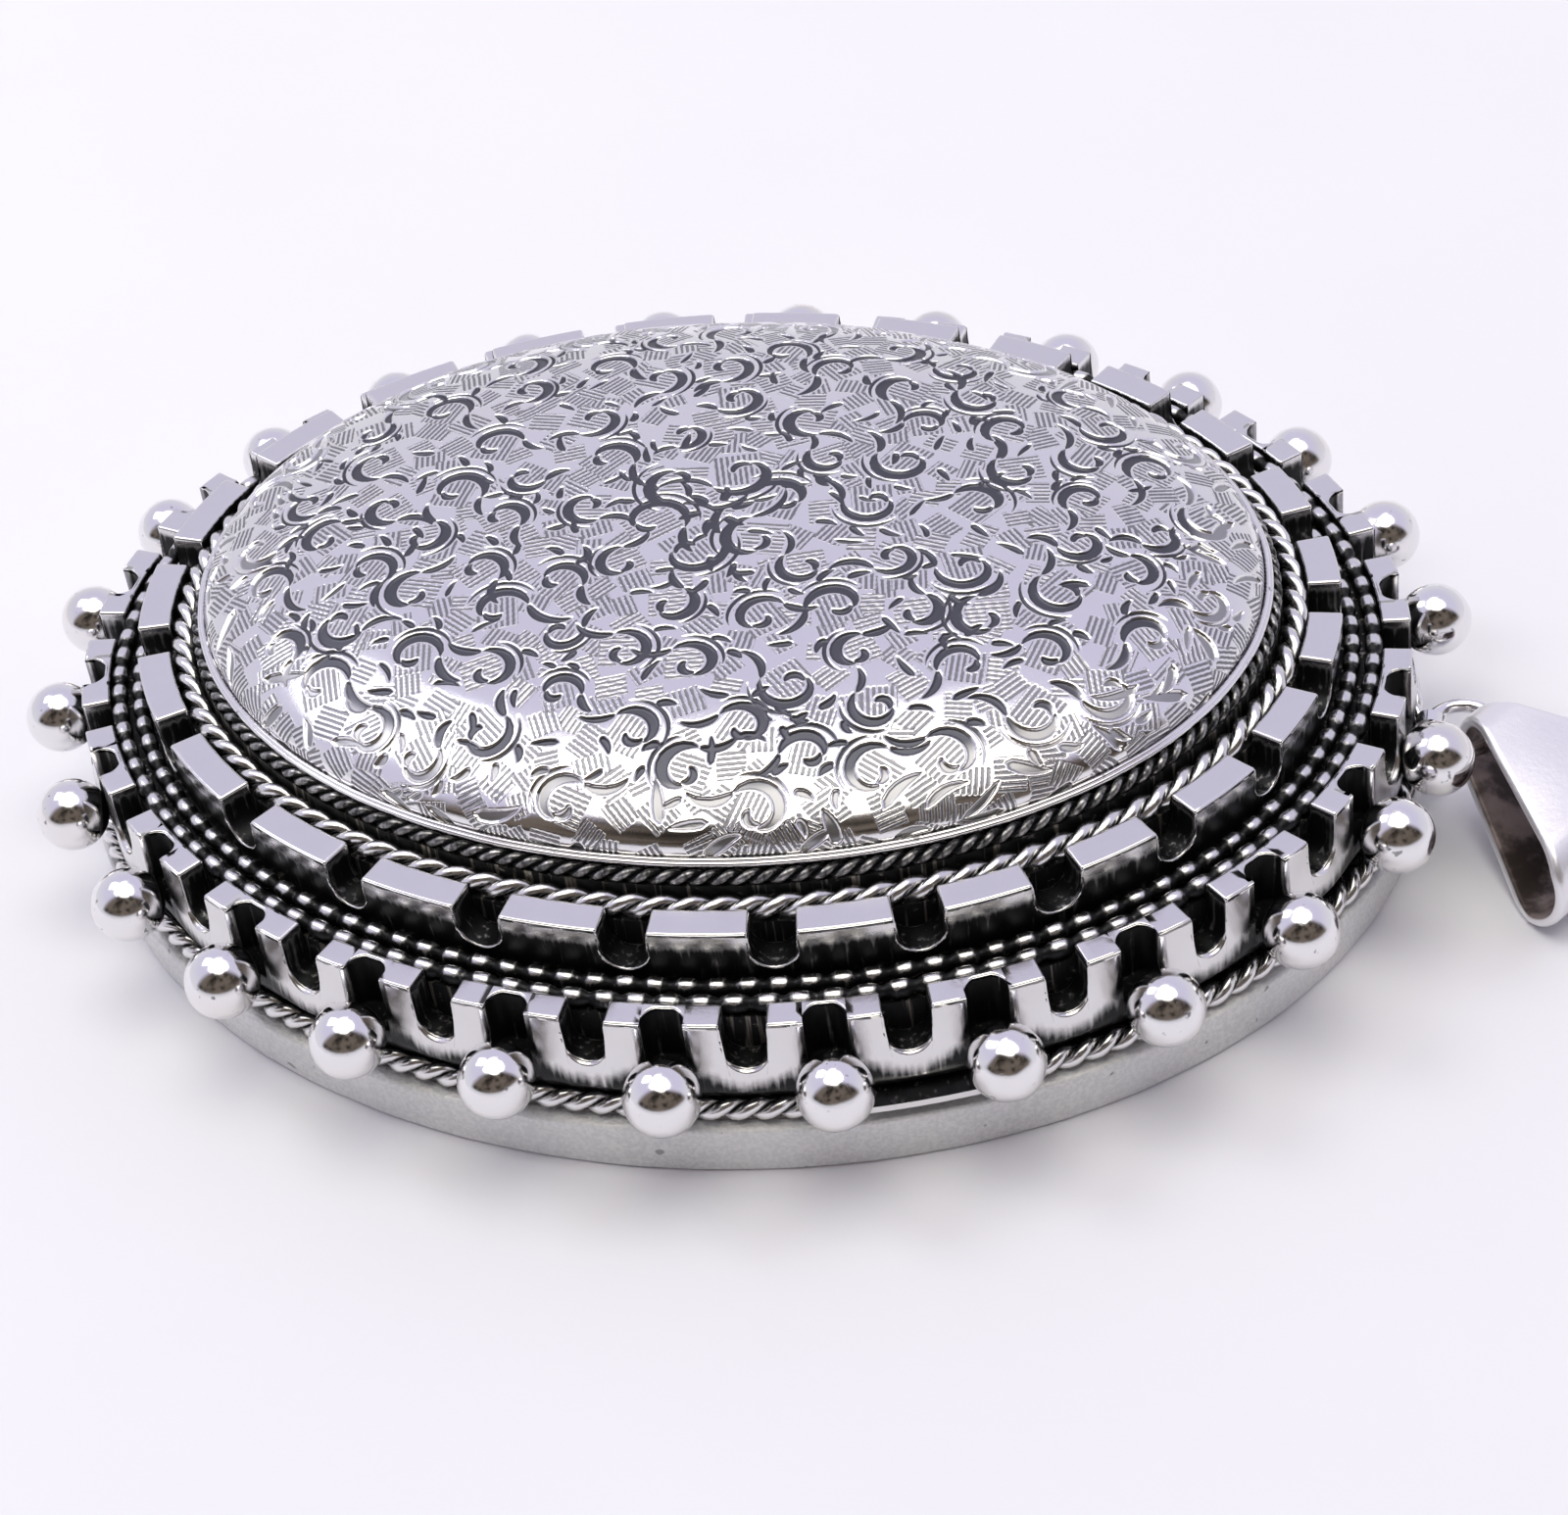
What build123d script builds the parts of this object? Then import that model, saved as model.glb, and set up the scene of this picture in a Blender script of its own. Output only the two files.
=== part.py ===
from build123d import *
import os
from math import asin, atan2, cos, degrees, pi, radians, sin, sqrt

# Oval silver pendant box: a shallow back dish, and a hinged lid whose engraved dome is ringed by
# two crenellated galleries, twisted and beaded wires and a row of balls. It hangs from a folded
# bail on a jump ring.
#
# Sizes are in millimetres. The origin is on the flat back, under the middle of the oval.
# +X points to the bail, +Y to the hinge, and +Z up through the dome.

# --- Plan -------------------------------------------------------------------------------------
# Every oval is an ellipse set in by so much from the line of the ball centres.
LONG_RADIUS = 23.65
SHORT_RADIUS = 19.5

# --- Case -------------------------------------------------------------------------------------
BACK_THICKNESS = 0.55
BAND_INSET = 0.68
BAND_WALL = 0.6
BAND_HEIGHT = 1.9
BAND_EDGE_ROUND = 0.3
CASE_RIM_THICKNESS = 0.45
BEZEL_WALL = 0.4
BEZEL_RISE = 1.6
BEZEL_CLEARANCE = 0.15
CATCH_BEAD_RADIUS = 0.25
CATCH_BEAD_PROUD = 0.08
CATCH_BEAD_RISE = 1.0
CATCH_BEAD_SPAN = 12.0

# --- Lid --------------------------------------------------------------------------------------
SEAM_GAP = 0.05
LID_RIM_THICKNESS = 0.45
OUTER_ROPE_DIAMETER = 0.78
ROPE_TO_GALLERY_GAP = 0.03
OUTER_GALLERY_INSET = 1.15
OUTER_GALLERY_WALL = 0.95
OUTER_GALLERY_TOP = 6.05
LOWER_COLLAR_WALL = 0.65
MIDDLE_PLATE_TOP = 5.45
MIDDLE_PLATE_THICKNESS = 0.45
BEADED_WIRE_DIAMETER = 0.56
WIRE_CLEARANCE = 0.02
INNER_GALLERY_INSET = 3.4
INNER_GALLERY_WALL = 1.1
INNER_GALLERY_TOP = 7.65
UPPER_COLLAR_WALL = 0.6
UPPER_PLATE_TOP = 7.05
UPPER_PLATE_THICKNESS = 0.45
UPPER_PLATE_WIDTH = 1.8
INNER_ROPE_DIAMETER = 0.8
DOME_SEAT_TOP = 7.8
FINE_ROPE_DIAMETER = 0.5
DOME_BEZEL_SIZE = 0.26
DOME_THICKNESS = 0.5
DOME_TOP = 11.2
DOME_WALL_RISE = 0.75
DOME_SHOULDER_WIDTH = 3.2
DOME_SHOULDER_RISE = 1.9

# --- Galleries and balls ----------------------------------------------------------------------
# Turns, shifts and drift are counted counter-clockwise from the bail end of the oval: turns and
# drift in pitches, shifts in millimetres. The drift crowds a hand-set row to one side.
BALL_COUNT = 26
BALL_TURN = 0.85
BALL_SHIFTS = {0: 0.4, 25: -1.4}
BALL_DIAMETER = 2.44
BALL_CENTRE_HEIGHT = 4.15
OUTER_NOTCH_WIDTH = 1.36
OUTER_NOTCH_DEPTH = 1.85
FLUTE_DIAMETER = 1.36
FLUTE_SETBACK = 0.15
FLUTE_FOOT_HEIGHT = 3.95
INNER_NOTCH_COUNT = 25
INNER_NOTCH_TURN = 0.37
INNER_NOTCH_DRIFT = -0.42
INNER_NOTCH_WIDTH = 1.45
INNER_NOTCH_DEPTH = 1.5

# --- Thumb-nail slot --------------------------------------------------------------------------
NAIL_SLOT_ANGLE = -66.0
NAIL_SLOT_LENGTH = 4.2
NAIL_SLOT_HEIGHT = 0.42
NAIL_LIP_THICKNESS = 0.24
NAIL_LIP_OVERHANG = 0.05
NAIL_NICK_DEPTH = 0.18

# --- Hinge ------------------------------------------------------------------------------------
HINGE_RADIUS = 0.75
HINGE_PIN_RADIUS = 0.35
HINGE_PIN_CLEARANCE = 0.05
HINGE_STANDOFF = 0.08
HINGE_LENGTH = 9.0
HINGE_LID_SHARE = 3.0
HINGE_GAP = 0.12
HINGE_TAB_THICKNESS = 0.6
HINGE_TAB_GAP = 0.06
ROPE_CLEAR_OF_HINGE = 0.35

# --- Eye, jump ring and bail ------------------------------------------------------------------
EYE_OFFSET = 0.7
EYE_RADIUS = 0.5
EYE_THICKNESS = 0.5
EYE_HEIGHT = 3.0
EYE_FOOT_HEIGHT = 0.5
EYE_CLEARANCE = 0.1
RING_WIRE_RADIUS = 0.25
RING_RADIUS = 1.1
RING_HOLE_CLEARANCE = 0.08
BAIL_HOOK = 1.1
BAIL_HEADING = -34.0
BAIL_LENGTH = 7.0
BAIL_NECK_RADIUS = 1.35
BAIL_FOLD_RADIUS = 1.75
BAIL_THICKNESS = 0.4
BAIL_NECK_WIDTH = 0.9
BAIL_NECK_LENGTH = 0.2
BAIL_FLARE_ANGLE = 28.0
BAIL_CORNER_ROUND = 0.6

# --- Worked-out heights and insets ------------------------------------------------------------
BAND_INNER_INSET = BAND_INSET + BAND_WALL
LID_BOTTOM = BAND_HEIGHT + SEAM_GAP
LID_RIM_TOP = LID_BOTTOM + LID_RIM_THICKNESS
LID_RIM_INSET = BAND_INSET + OUTER_ROPE_DIAMETER + WIRE_CLEARANCE
OUTER_ROPE_INSET = BAND_INSET + OUTER_ROPE_DIAMETER / 2
OUTER_ROPE_HEIGHT = LID_BOTTOM + OUTER_ROPE_DIAMETER / 2
OUTER_GALLERY_FOOT = LID_BOTTOM + OUTER_ROPE_DIAMETER + ROPE_TO_GALLERY_GAP
COLLAR_INSET = OUTER_GALLERY_INSET + OUTER_GALLERY_WALL
LID_OPENING_INSET = COLLAR_INSET + LOWER_COLLAR_WALL
BEZEL_INSET = LID_OPENING_INSET + BEZEL_CLEARANCE
MIDDLE_PLATE_BOTTOM = MIDDLE_PLATE_TOP - MIDDLE_PLATE_THICKNESS
BEADED_WIRE_HEIGHT = MIDDLE_PLATE_TOP + BEADED_WIRE_DIAMETER / 2
OUTER_BEADED_INSET = COLLAR_INSET + BEADED_WIRE_DIAMETER / 2 + WIRE_CLEARANCE
INNER_BEADED_INSET = INNER_GALLERY_INSET - BEADED_WIRE_DIAMETER / 2 - WIRE_CLEARANCE
UPPER_COLLAR_INSET = INNER_GALLERY_INSET + INNER_GALLERY_WALL
UPPER_OPENING_INSET = UPPER_COLLAR_INSET + UPPER_COLLAR_WALL
UPPER_PLATE_BOTTOM = UPPER_PLATE_TOP - UPPER_PLATE_THICKNESS
INNER_ROPE_INSET = UPPER_COLLAR_INSET + INNER_ROPE_DIAMETER / 2 + WIRE_CLEARANCE
DOME_SEAT_INSET = UPPER_COLLAR_INSET + INNER_ROPE_DIAMETER + 2 * WIRE_CLEARANCE
DOME_INSET = DOME_SEAT_INSET + FINE_ROPE_DIAMETER + WIRE_CLEARANCE
FINE_ROPE_INSET = DOME_SEAT_INSET + FINE_ROPE_DIAMETER / 2
DOME_BEZEL_BOTTOM = DOME_SEAT_TOP + FINE_ROPE_DIAMETER
HINGE_Y = SHORT_RADIUS - BAND_INSET + HINGE_STANDOFF + HINGE_RADIUS
HINGE_Z = BAND_HEIGHT + SEAM_GAP / 2
EYE_X = LONG_RADIUS - OUTER_GALLERY_INSET + EYE_CLEARANCE + EYE_RADIUS
RING_CENTRE_X = EYE_X + RING_RADIUS
TALL = 20.0


def oval(inset):
    """An ellipse set in from the line of the ball centres."""
    return Ellipse(LONG_RADIUS - inset, SHORT_RADIUS - inset)


def oval_disc(inset, bottom, top):
    """A flat oval plate between two heights."""
    return extrude(Pos(0, 0, bottom) * oval(inset), top - bottom)


def oval_ring(outer_inset, inner_inset, bottom, top):
    """An upright oval wall or a flat oval ring between two insets and two heights."""
    return extrude(Pos(0, 0, bottom) * (oval(outer_inset) - oval(inner_inset)), top - bottom)


def oval_wire(inset, height, diameter, start=0.0, end=360.0):
    """A round wire bent along an oval, all round or between two ellipse angles."""
    path = Edge.make_ellipse(
        LONG_RADIUS - inset, SHORT_RADIUS - inset, Plane.XY.offset(height), start_angle=start, end_angle=end)
    return sweep((path ^ 0) * Circle(diameter / 2), path=path)


def station(angle, inset=0.0):
    """The frame on an oval at an ellipse angle: x outwards, y along the oval, z up."""
    point_x = (LONG_RADIUS - inset) * cos(angle)
    point_y = (SHORT_RADIUS - inset) * sin(angle)
    normal = atan2((LONG_RADIUS - inset) * sin(angle), (SHORT_RADIUS - inset) * cos(angle))
    return Pos(point_x, point_y, 0) * Rot(0, 0, degrees(normal))


def row_angles(count, turn, drift=0.0, shifts=None):
    """Ellipse angles of a row of points along the line of ball centres, evenly spaced but for
    the drift of the whole row and the shifts of single points."""
    steps = 3600
    lengths = [0.0]
    for step in range(steps):
        angle = 2 * pi * (step + 0.5) / steps
        speed = sqrt((LONG_RADIUS * sin(angle)) ** 2 + (SHORT_RADIUS * cos(angle)) ** 2)
        lengths.append(lengths[-1] + speed * 2 * pi / steps)
    angles = []
    for index in range(count):
        place = index + turn
        place += drift * sin(2 * pi * place / count)
        wanted = place / count * lengths[-1] + (shifts or {}).get(index, 0.0)
        wanted %= lengths[-1]
        step = next(number for number in range(steps) if lengths[number + 1] > wanted)
        share = (wanted - lengths[step]) / (lengths[step + 1] - lengths[step])
        angles.append(2 * pi * (step + share) / steps)
    return angles


def u_notch(width, bottom, reach):
    """A cutter for a round-bottomed notch that runs out of the top of a wall."""
    round_bottom = Pos(0, 0, bottom + width / 2) * Rot(0, 90, 0) * Cylinder(width / 2, reach)
    standing = (Align.CENTER, Align.CENTER, Align.MIN)
    shank = Pos(0, 0, bottom + width / 2) * Box(reach, width, TALL, align=standing)
    return round_bottom + shank


def case_parts():
    """The back dish: plate, side band, rim, and the bezel that the lid closes over."""
    back_plate = oval_disc(BAND_INNER_INSET, 0, BACK_THICKNESS)
    band = oval_ring(BAND_INSET, BAND_INNER_INSET, 0, BAND_HEIGHT)
    lower_edge = band.edges().filter_by_position(Axis.Z, 0, 0).sort_by(SortBy.LENGTH)[-1]
    band = fillet(lower_edge, BAND_EDGE_ROUND)
    rim_bottom = BAND_HEIGHT - CASE_RIM_THICKNESS
    rim = oval_ring(BAND_INNER_INSET, BEZEL_INSET + BEZEL_WALL, rim_bottom, BAND_HEIGHT)
    bezel = oval_ring(BEZEL_INSET, BEZEL_INSET + BEZEL_WALL, BAND_HEIGHT, BAND_HEIGHT + BEZEL_RISE)
    nick = station(radians(NAIL_SLOT_ANGLE), BAND_INSET) * Pos(0, 0, BAND_HEIGHT)
    nick = nick * Box(2 * NAIL_NICK_DEPTH, NAIL_SLOT_LENGTH * 0.6, 2 * NAIL_NICK_DEPTH)
    return {"back_plate": back_plate, "side_band": band - nick, "case_rim": rim, "inner_bezel": bezel}


def catch_bead():
    """A short half-round bead on the bezel that the lid snaps over, in line with the nail slot."""
    wire_inset = BEZEL_INSET + CATCH_BEAD_RADIUS - CATCH_BEAD_PROUD
    wire = oval_wire(wire_inset, BAND_HEIGHT + CATCH_BEAD_RISE, 2 * CATCH_BEAD_RADIUS)
    span = station(radians(NAIL_SLOT_ANGLE), BEZEL_INSET) * Box(TALL / 2, CATCH_BEAD_SPAN, TALL)
    proud = oval_ring(BEZEL_INSET - CATCH_BEAD_RADIUS, BEZEL_INSET, 0, BAND_HEIGHT + BEZEL_RISE)
    return wire & span & proud


def lid_shell_parts():
    """The plain sheet pieces of the lid: rim, two collars, two steps and the seat of the dome."""
    upper_plate_inner = UPPER_COLLAR_INSET + UPPER_PLATE_WIDTH
    return {
        "lid_rim": oval_ring(LID_RIM_INSET, LID_OPENING_INSET, LID_BOTTOM, LID_RIM_TOP),
        "lower_collar": oval_ring(COLLAR_INSET, LID_OPENING_INSET, LID_RIM_TOP, MIDDLE_PLATE_BOTTOM),
        "middle_plate": oval_ring(COLLAR_INSET, UPPER_OPENING_INSET, MIDDLE_PLATE_BOTTOM, MIDDLE_PLATE_TOP),
        "upper_collar": oval_ring(
            UPPER_COLLAR_INSET, UPPER_OPENING_INSET, MIDDLE_PLATE_TOP, UPPER_PLATE_BOTTOM),
        "upper_plate": oval_ring(UPPER_COLLAR_INSET, upper_plate_inner, UPPER_PLATE_BOTTOM, UPPER_PLATE_TOP),
        "dome_seat": oval_ring(DOME_SEAT_INSET, upper_plate_inner, UPPER_PLATE_TOP, DOME_SEAT_TOP),
    }


def dome_profile(half_width, wall, top):
    """Half of the pillow-shaped section: upright foot, round shoulder, gently crowned top."""
    foot = Vector(half_width, 0, DOME_SEAT_TOP)
    spring = Vector(half_width, 0, DOME_SEAT_TOP + DOME_WALL_RISE)
    shoulder_height = spring.Z + DOME_SHOULDER_RISE - wall
    shoulder = Vector(half_width - DOME_SHOULDER_WIDTH, 0, shoulder_height)
    crown = Vector(0, 0, top)
    curve = Spline([spring, shoulder, crown], tangents=[(0, 0, 1), (-1, 0, 0)])
    outline = Wire([
        Edge.make_line(Vector(0, 0, DOME_SEAT_TOP), foot),
        Edge.make_line(foot, spring),
        curve.edge(),
        Edge.make_line(crown, Vector(0, 0, DOME_SEAT_TOP)),
    ])
    return Face(outline)


def dome():
    """The raised, hollow, pillow-shaped top of the lid."""
    half_width = SHORT_RADIUS - DOME_INSET
    outside = revolve(dome_profile(half_width, 0, DOME_TOP), Axis.Z)
    inner_profile = dome_profile(half_width - DOME_THICKNESS, DOME_THICKNESS, DOME_TOP - DOME_THICKNESS)
    inside = revolve(inner_profile, Axis.Z)
    stretch = (LONG_RADIUS - DOME_INSET) / half_width
    return scale(outside - inside, by=(stretch, 1, 1))


def lid_wires():
    """The beaded, twisted and plain wires of the lid, as plain ovals of their outer size."""
    bezel_outer = DOME_INSET - DOME_BEZEL_SIZE
    bezel_top = DOME_BEZEL_BOTTOM + DOME_BEZEL_SIZE
    fine_rope_height = DOME_SEAT_TOP + FINE_ROPE_DIAMETER / 2
    inner_rope_height = UPPER_PLATE_TOP + INNER_ROPE_DIAMETER / 2
    return {
        "outer_beaded_wire": oval_wire(OUTER_BEADED_INSET, BEADED_WIRE_HEIGHT, BEADED_WIRE_DIAMETER),
        "inner_beaded_wire": oval_wire(INNER_BEADED_INSET, BEADED_WIRE_HEIGHT, BEADED_WIRE_DIAMETER),
        "inner_rope_wire": oval_wire(INNER_ROPE_INSET, inner_rope_height, INNER_ROPE_DIAMETER),
        "fine_rope_wire": oval_wire(FINE_ROPE_INSET, fine_rope_height, FINE_ROPE_DIAMETER),
        "dome_bezel": oval_ring(bezel_outer, DOME_INSET, DOME_BEZEL_BOTTOM, bezel_top),
    }


def outer_rope():
    """The twisted wire round the lid's edge, left open at the hinge, the eye and the nail slot."""
    long_radius = LONG_RADIUS - OUTER_ROPE_INSET
    short_radius = SHORT_RADIUS - OUTER_ROPE_INSET
    hinge_half = degrees(asin((HINGE_LENGTH / 2 + ROPE_CLEAR_OF_HINGE) / long_radius))
    band_face_to_ring = RING_CENTRE_X - (LONG_RADIUS - BAND_INSET)
    eye_half = sqrt((RING_RADIUS + RING_WIRE_RADIUS) ** 2 - band_face_to_ring ** 2) + 2 * EYE_CLEARANCE
    eye_low = degrees(asin((EYE_OFFSET - eye_half) / short_radius))
    eye_high = degrees(asin((EYE_OFFSET + eye_half) / short_radius))
    slot = radians(NAIL_SLOT_ANGLE)
    length_per_turn = sqrt((long_radius * sin(slot)) ** 2 + (short_radius * cos(slot)) ** 2)
    slot_half = degrees(NAIL_SLOT_LENGTH / 2 / length_per_turn)
    spans = [
        (eye_high, 90 - hinge_half),
        (90 + hinge_half, 360 + NAIL_SLOT_ANGLE - slot_half),
        (360 + NAIL_SLOT_ANGLE + slot_half, 360 + eye_low),
    ]
    lengths = [
        oval_wire(OUTER_ROPE_INSET, OUTER_ROPE_HEIGHT, OUTER_ROPE_DIAMETER, start, end)
        for start, end in spans]
    return Compound(children=lengths)


def nail_lip():
    """The smooth lip over the thumb-nail slot, between two lengths of the outer rope."""
    bottom = LID_BOTTOM + NAIL_SLOT_HEIGHT
    lip = oval_ring(BAND_INSET - NAIL_LIP_OVERHANG, LID_RIM_INSET, bottom, bottom + NAIL_LIP_THICKNESS)
    reach = station(radians(NAIL_SLOT_ANGLE), BAND_INSET) * Box(4, NAIL_SLOT_LENGTH, TALL)
    tie_inset = OUTER_GALLERY_INSET + OUTER_GALLERY_WALL
    tie = oval_ring(LID_RIM_INSET, tie_inset, LID_RIM_TOP, bottom + NAIL_LIP_THICKNESS)
    return (lip + tie) & reach


def outer_gallery():
    """The outer wall: a round-bottomed notch between balls, and an upright flute above each ball."""
    wall = oval_ring(OUTER_GALLERY_INSET, COLLAR_INSET, OUTER_GALLERY_FOOT, OUTER_GALLERY_TOP)
    middle_inset = OUTER_GALLERY_INSET + OUTER_GALLERY_WALL / 2
    notch = u_notch(OUTER_NOTCH_WIDTH, OUTER_GALLERY_TOP - OUTER_NOTCH_DEPTH, 2 * OUTER_GALLERY_WALL)
    flute = Pos(0, 0, FLUTE_FOOT_HEIGHT) * Cylinder(
        FLUTE_DIAMETER / 2, TALL, align=(Align.CENTER, Align.CENTER, Align.MIN))
    flute_inset = OUTER_GALLERY_INSET + FLUTE_SETBACK
    notches = [station(angle, middle_inset) * notch for angle in row_angles(BALL_COUNT, BALL_TURN - 0.5)]
    flutes = [station(angle, flute_inset) * flute for angle in row_angles(BALL_COUNT, BALL_TURN)]
    return wall - notches - flutes


def inner_gallery():
    """The inner wall with its flat-topped merlons and round-bottomed notches."""
    wall = oval_ring(INNER_GALLERY_INSET, UPPER_COLLAR_INSET, MIDDLE_PLATE_TOP, INNER_GALLERY_TOP)
    middle_inset = INNER_GALLERY_INSET + INNER_GALLERY_WALL / 2
    notch = u_notch(INNER_NOTCH_WIDTH, INNER_GALLERY_TOP - INNER_NOTCH_DEPTH, 2 * INNER_GALLERY_WALL)
    angles = row_angles(INNER_NOTCH_COUNT, INNER_NOTCH_TURN, INNER_NOTCH_DRIFT)
    return wall - [station(angle, middle_inset) * notch for angle in angles]


def balls():
    """The balls, one at the foot of each flute; the two by the bail stand aside for the ring."""
    angles = row_angles(BALL_COUNT, BALL_TURN, shifts=BALL_SHIFTS)
    gallery_face = oval_ring(OUTER_GALLERY_INSET, COLLAR_INSET, 0, OUTER_GALLERY_TOP)
    solids = {}
    for index, angle in enumerate(angles):
        ball = station(angle) * Pos(0, 0, BALL_CENTRE_HEIGHT) * Sphere(BALL_DIAMETER / 2)
        solids[f"ball_{index + 1:02d}"] = ball - gallery_face
    return solids


def knuckle(left, right, tab_low, tab_high, tab_reach):
    """One length of hinge barrel with a flat tab that runs in towards the box."""
    length = right - left
    middle = (left + right) / 2
    barrel = Pos(middle, HINGE_Y, HINGE_Z) * Rot(0, 90, 0) * Cylinder(HINGE_RADIUS, length)
    tab = Pos(middle, HINGE_Y - tab_reach / 2, (tab_low + tab_high) / 2)
    tab = tab * Box(length, tab_reach, tab_high - tab_low)
    bore = Pos(middle, HINGE_Y, HINGE_Z) * Rot(0, 90, 0)
    bore = bore * Cylinder(HINGE_PIN_RADIUS + HINGE_PIN_CLEARANCE, length + 1)
    return barrel + tab - bore


def hinge_parts():
    """Three knuckles and the pin; the outer two are on the case and the middle one on the lid."""
    end = HINGE_LENGTH / 2
    inner = HINGE_LID_SHARE / 2
    case_high = BAND_HEIGHT - HINGE_TAB_GAP
    case_low = case_high - HINGE_TAB_THICKNESS
    lid_low = LID_BOTTOM + HINGE_TAB_GAP
    lid_high = lid_low + HINGE_TAB_THICKNESS
    band_solid = oval_disc(BAND_INSET, 0, BAND_HEIGHT)
    lid_solid = oval_disc(LID_RIM_INSET, 0, TALL)
    case_reach = HINGE_RADIUS + HINGE_STANDOFF + BAND_WALL
    lid_reach = HINGE_RADIUS + HINGE_STANDOFF + OUTER_ROPE_DIAMETER + BAND_WALL
    left = knuckle(-end, -inner - HINGE_GAP, case_low, case_high, case_reach) - band_solid
    right = knuckle(inner + HINGE_GAP, end, case_low, case_high, case_reach) - band_solid
    middle = knuckle(-inner, inner, lid_low, lid_high, lid_reach) - lid_solid
    pin = Pos(0, HINGE_Y, HINGE_Z) * Rot(0, 90, 0) * Cylinder(HINGE_PIN_RADIUS, HINGE_LENGTH)
    return {
        "case_knuckle_left": left,
        "case_knuckle_right": right,
        "lid_knuckle": middle,
        "hinge_pin": pin,
    }


def bail_eye():
    """The lug on the end of the band, pierced crosswise for the jump ring."""
    head = Pos(EYE_X, EYE_OFFSET, EYE_HEIGHT) * Rot(90, 0, 0) * Cylinder(EYE_RADIUS, EYE_THICKNESS)
    shank_height = EYE_HEIGHT - EYE_FOOT_HEIGHT
    shank = Pos(EYE_X, EYE_OFFSET, EYE_FOOT_HEIGHT + shank_height / 2)
    shank = shank * Box(2 * EYE_RADIUS, EYE_THICKNESS, shank_height)
    hole = Pos(EYE_X, EYE_OFFSET, EYE_HEIGHT) * Rot(90, 0, 0)
    hole = hole * Cylinder(RING_WIRE_RADIUS + RING_HOLE_CLEARANCE, EYE_THICKNESS + 1)
    return head + shank - hole - oval_disc(BAND_INSET, 0, BAND_HEIGHT)


def jump_ring():
    """The closed ring that joins the bail to the eye."""
    return Pos(RING_CENTRE_X, EYE_OFFSET, EYE_HEIGHT) * Torus(RING_RADIUS, RING_WIRE_RADIUS)


def stadium(near_radius, far_radius, near, far):
    """The face bounded by two circles on the X axis and their outer tangents."""
    slope = (far_radius - near_radius) / (far - near)
    across = sqrt(1 - slope ** 2)
    corners = []
    for centre, radius in ((near, near_radius), (far, far_radius)):
        corners.append((centre - radius * slope, radius * across))
    outline = [corners[0], corners[1], (corners[1][0], -corners[1][1]), (corners[0][0], -corners[0][1])]
    body = make_face(Polyline(*outline, close=True))
    return body + Pos(near, 0) * Circle(near_radius) + Pos(far, 0) * Circle(far_radius)


def bail():
    """The folded strap: a loop that widens from its neck in the ring to its far fold."""
    near = BAIL_NECK_RADIUS
    far = BAIL_LENGTH - BAIL_FOLD_RADIUS
    section = stadium(BAIL_NECK_RADIUS, BAIL_FOLD_RADIUS, near, far)
    section -= stadium(BAIL_NECK_RADIUS - BAIL_THICKNESS, BAIL_FOLD_RADIUS - BAIL_THICKNESS, near, far)
    loop = extrude(Plane.XZ * section, TALL / 2, both=True)
    neck = BAIL_NECK_WIDTH / 2
    flare_angle = radians(BAIL_FLARE_ANGLE)
    flare = neck + (BAIL_LENGTH - BAIL_NECK_LENGTH) * sin(flare_angle) / cos(flare_angle)
    plan = make_face(Polyline(
        (0, neck), (BAIL_NECK_LENGTH, neck), (BAIL_LENGTH, flare),
        (BAIL_LENGTH, -flare), (BAIL_NECK_LENGTH, -neck), (0, -neck), close=True))
    far_corners = plan.vertices().sort_by(Axis.X)[-2:]
    plan = fillet(far_corners, BAIL_CORNER_ROUND)
    strap = loop & extrude(plan, TALL / 2, both=True)
    drop = EYE_HEIGHT - BAIL_FOLD_RADIUS
    pitch = degrees(atan2(drop, sqrt((far - near) ** 2 - drop ** 2)))
    strap = Pos(near, 0, 0) * Rot(0, pitch, 0) * Pos(-near, 0, 0) * strap
    strap = Pos(RING_RADIUS - BAIL_HOOK, 0, 0) * strap
    return Pos(RING_CENTRE_X, EYE_OFFSET, EYE_HEIGHT) * Rot(0, 0, BAIL_HEADING) * strap


def all_parts():
    """Every piece of the box by its node name."""
    parts = case_parts()
    parts["catch_bead"] = catch_bead()
    parts.update(lid_shell_parts())
    parts["dome"] = dome()
    parts.update(lid_wires())
    parts["outer_rope_wire"] = outer_rope()
    parts["nail_lip"] = nail_lip()
    parts["outer_gallery"] = outer_gallery()
    parts["inner_gallery"] = inner_gallery()
    parts.update(balls())
    parts.update(hinge_parts())
    parts["bail_eye"] = bail_eye()
    parts["jump_ring"] = jump_ring()
    parts["bail"] = bail()
    return parts


os.makedirs("parts", exist_ok=True)
for name, shape in all_parts().items():
    export_step(shape, f"parts/{name}.step")
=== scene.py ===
from math import asin, atan2, cos, hypot, pi, radians, sin, sqrt

import bmesh
import bpy
import numpy as np
from mathutils import Matrix, Vector


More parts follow.
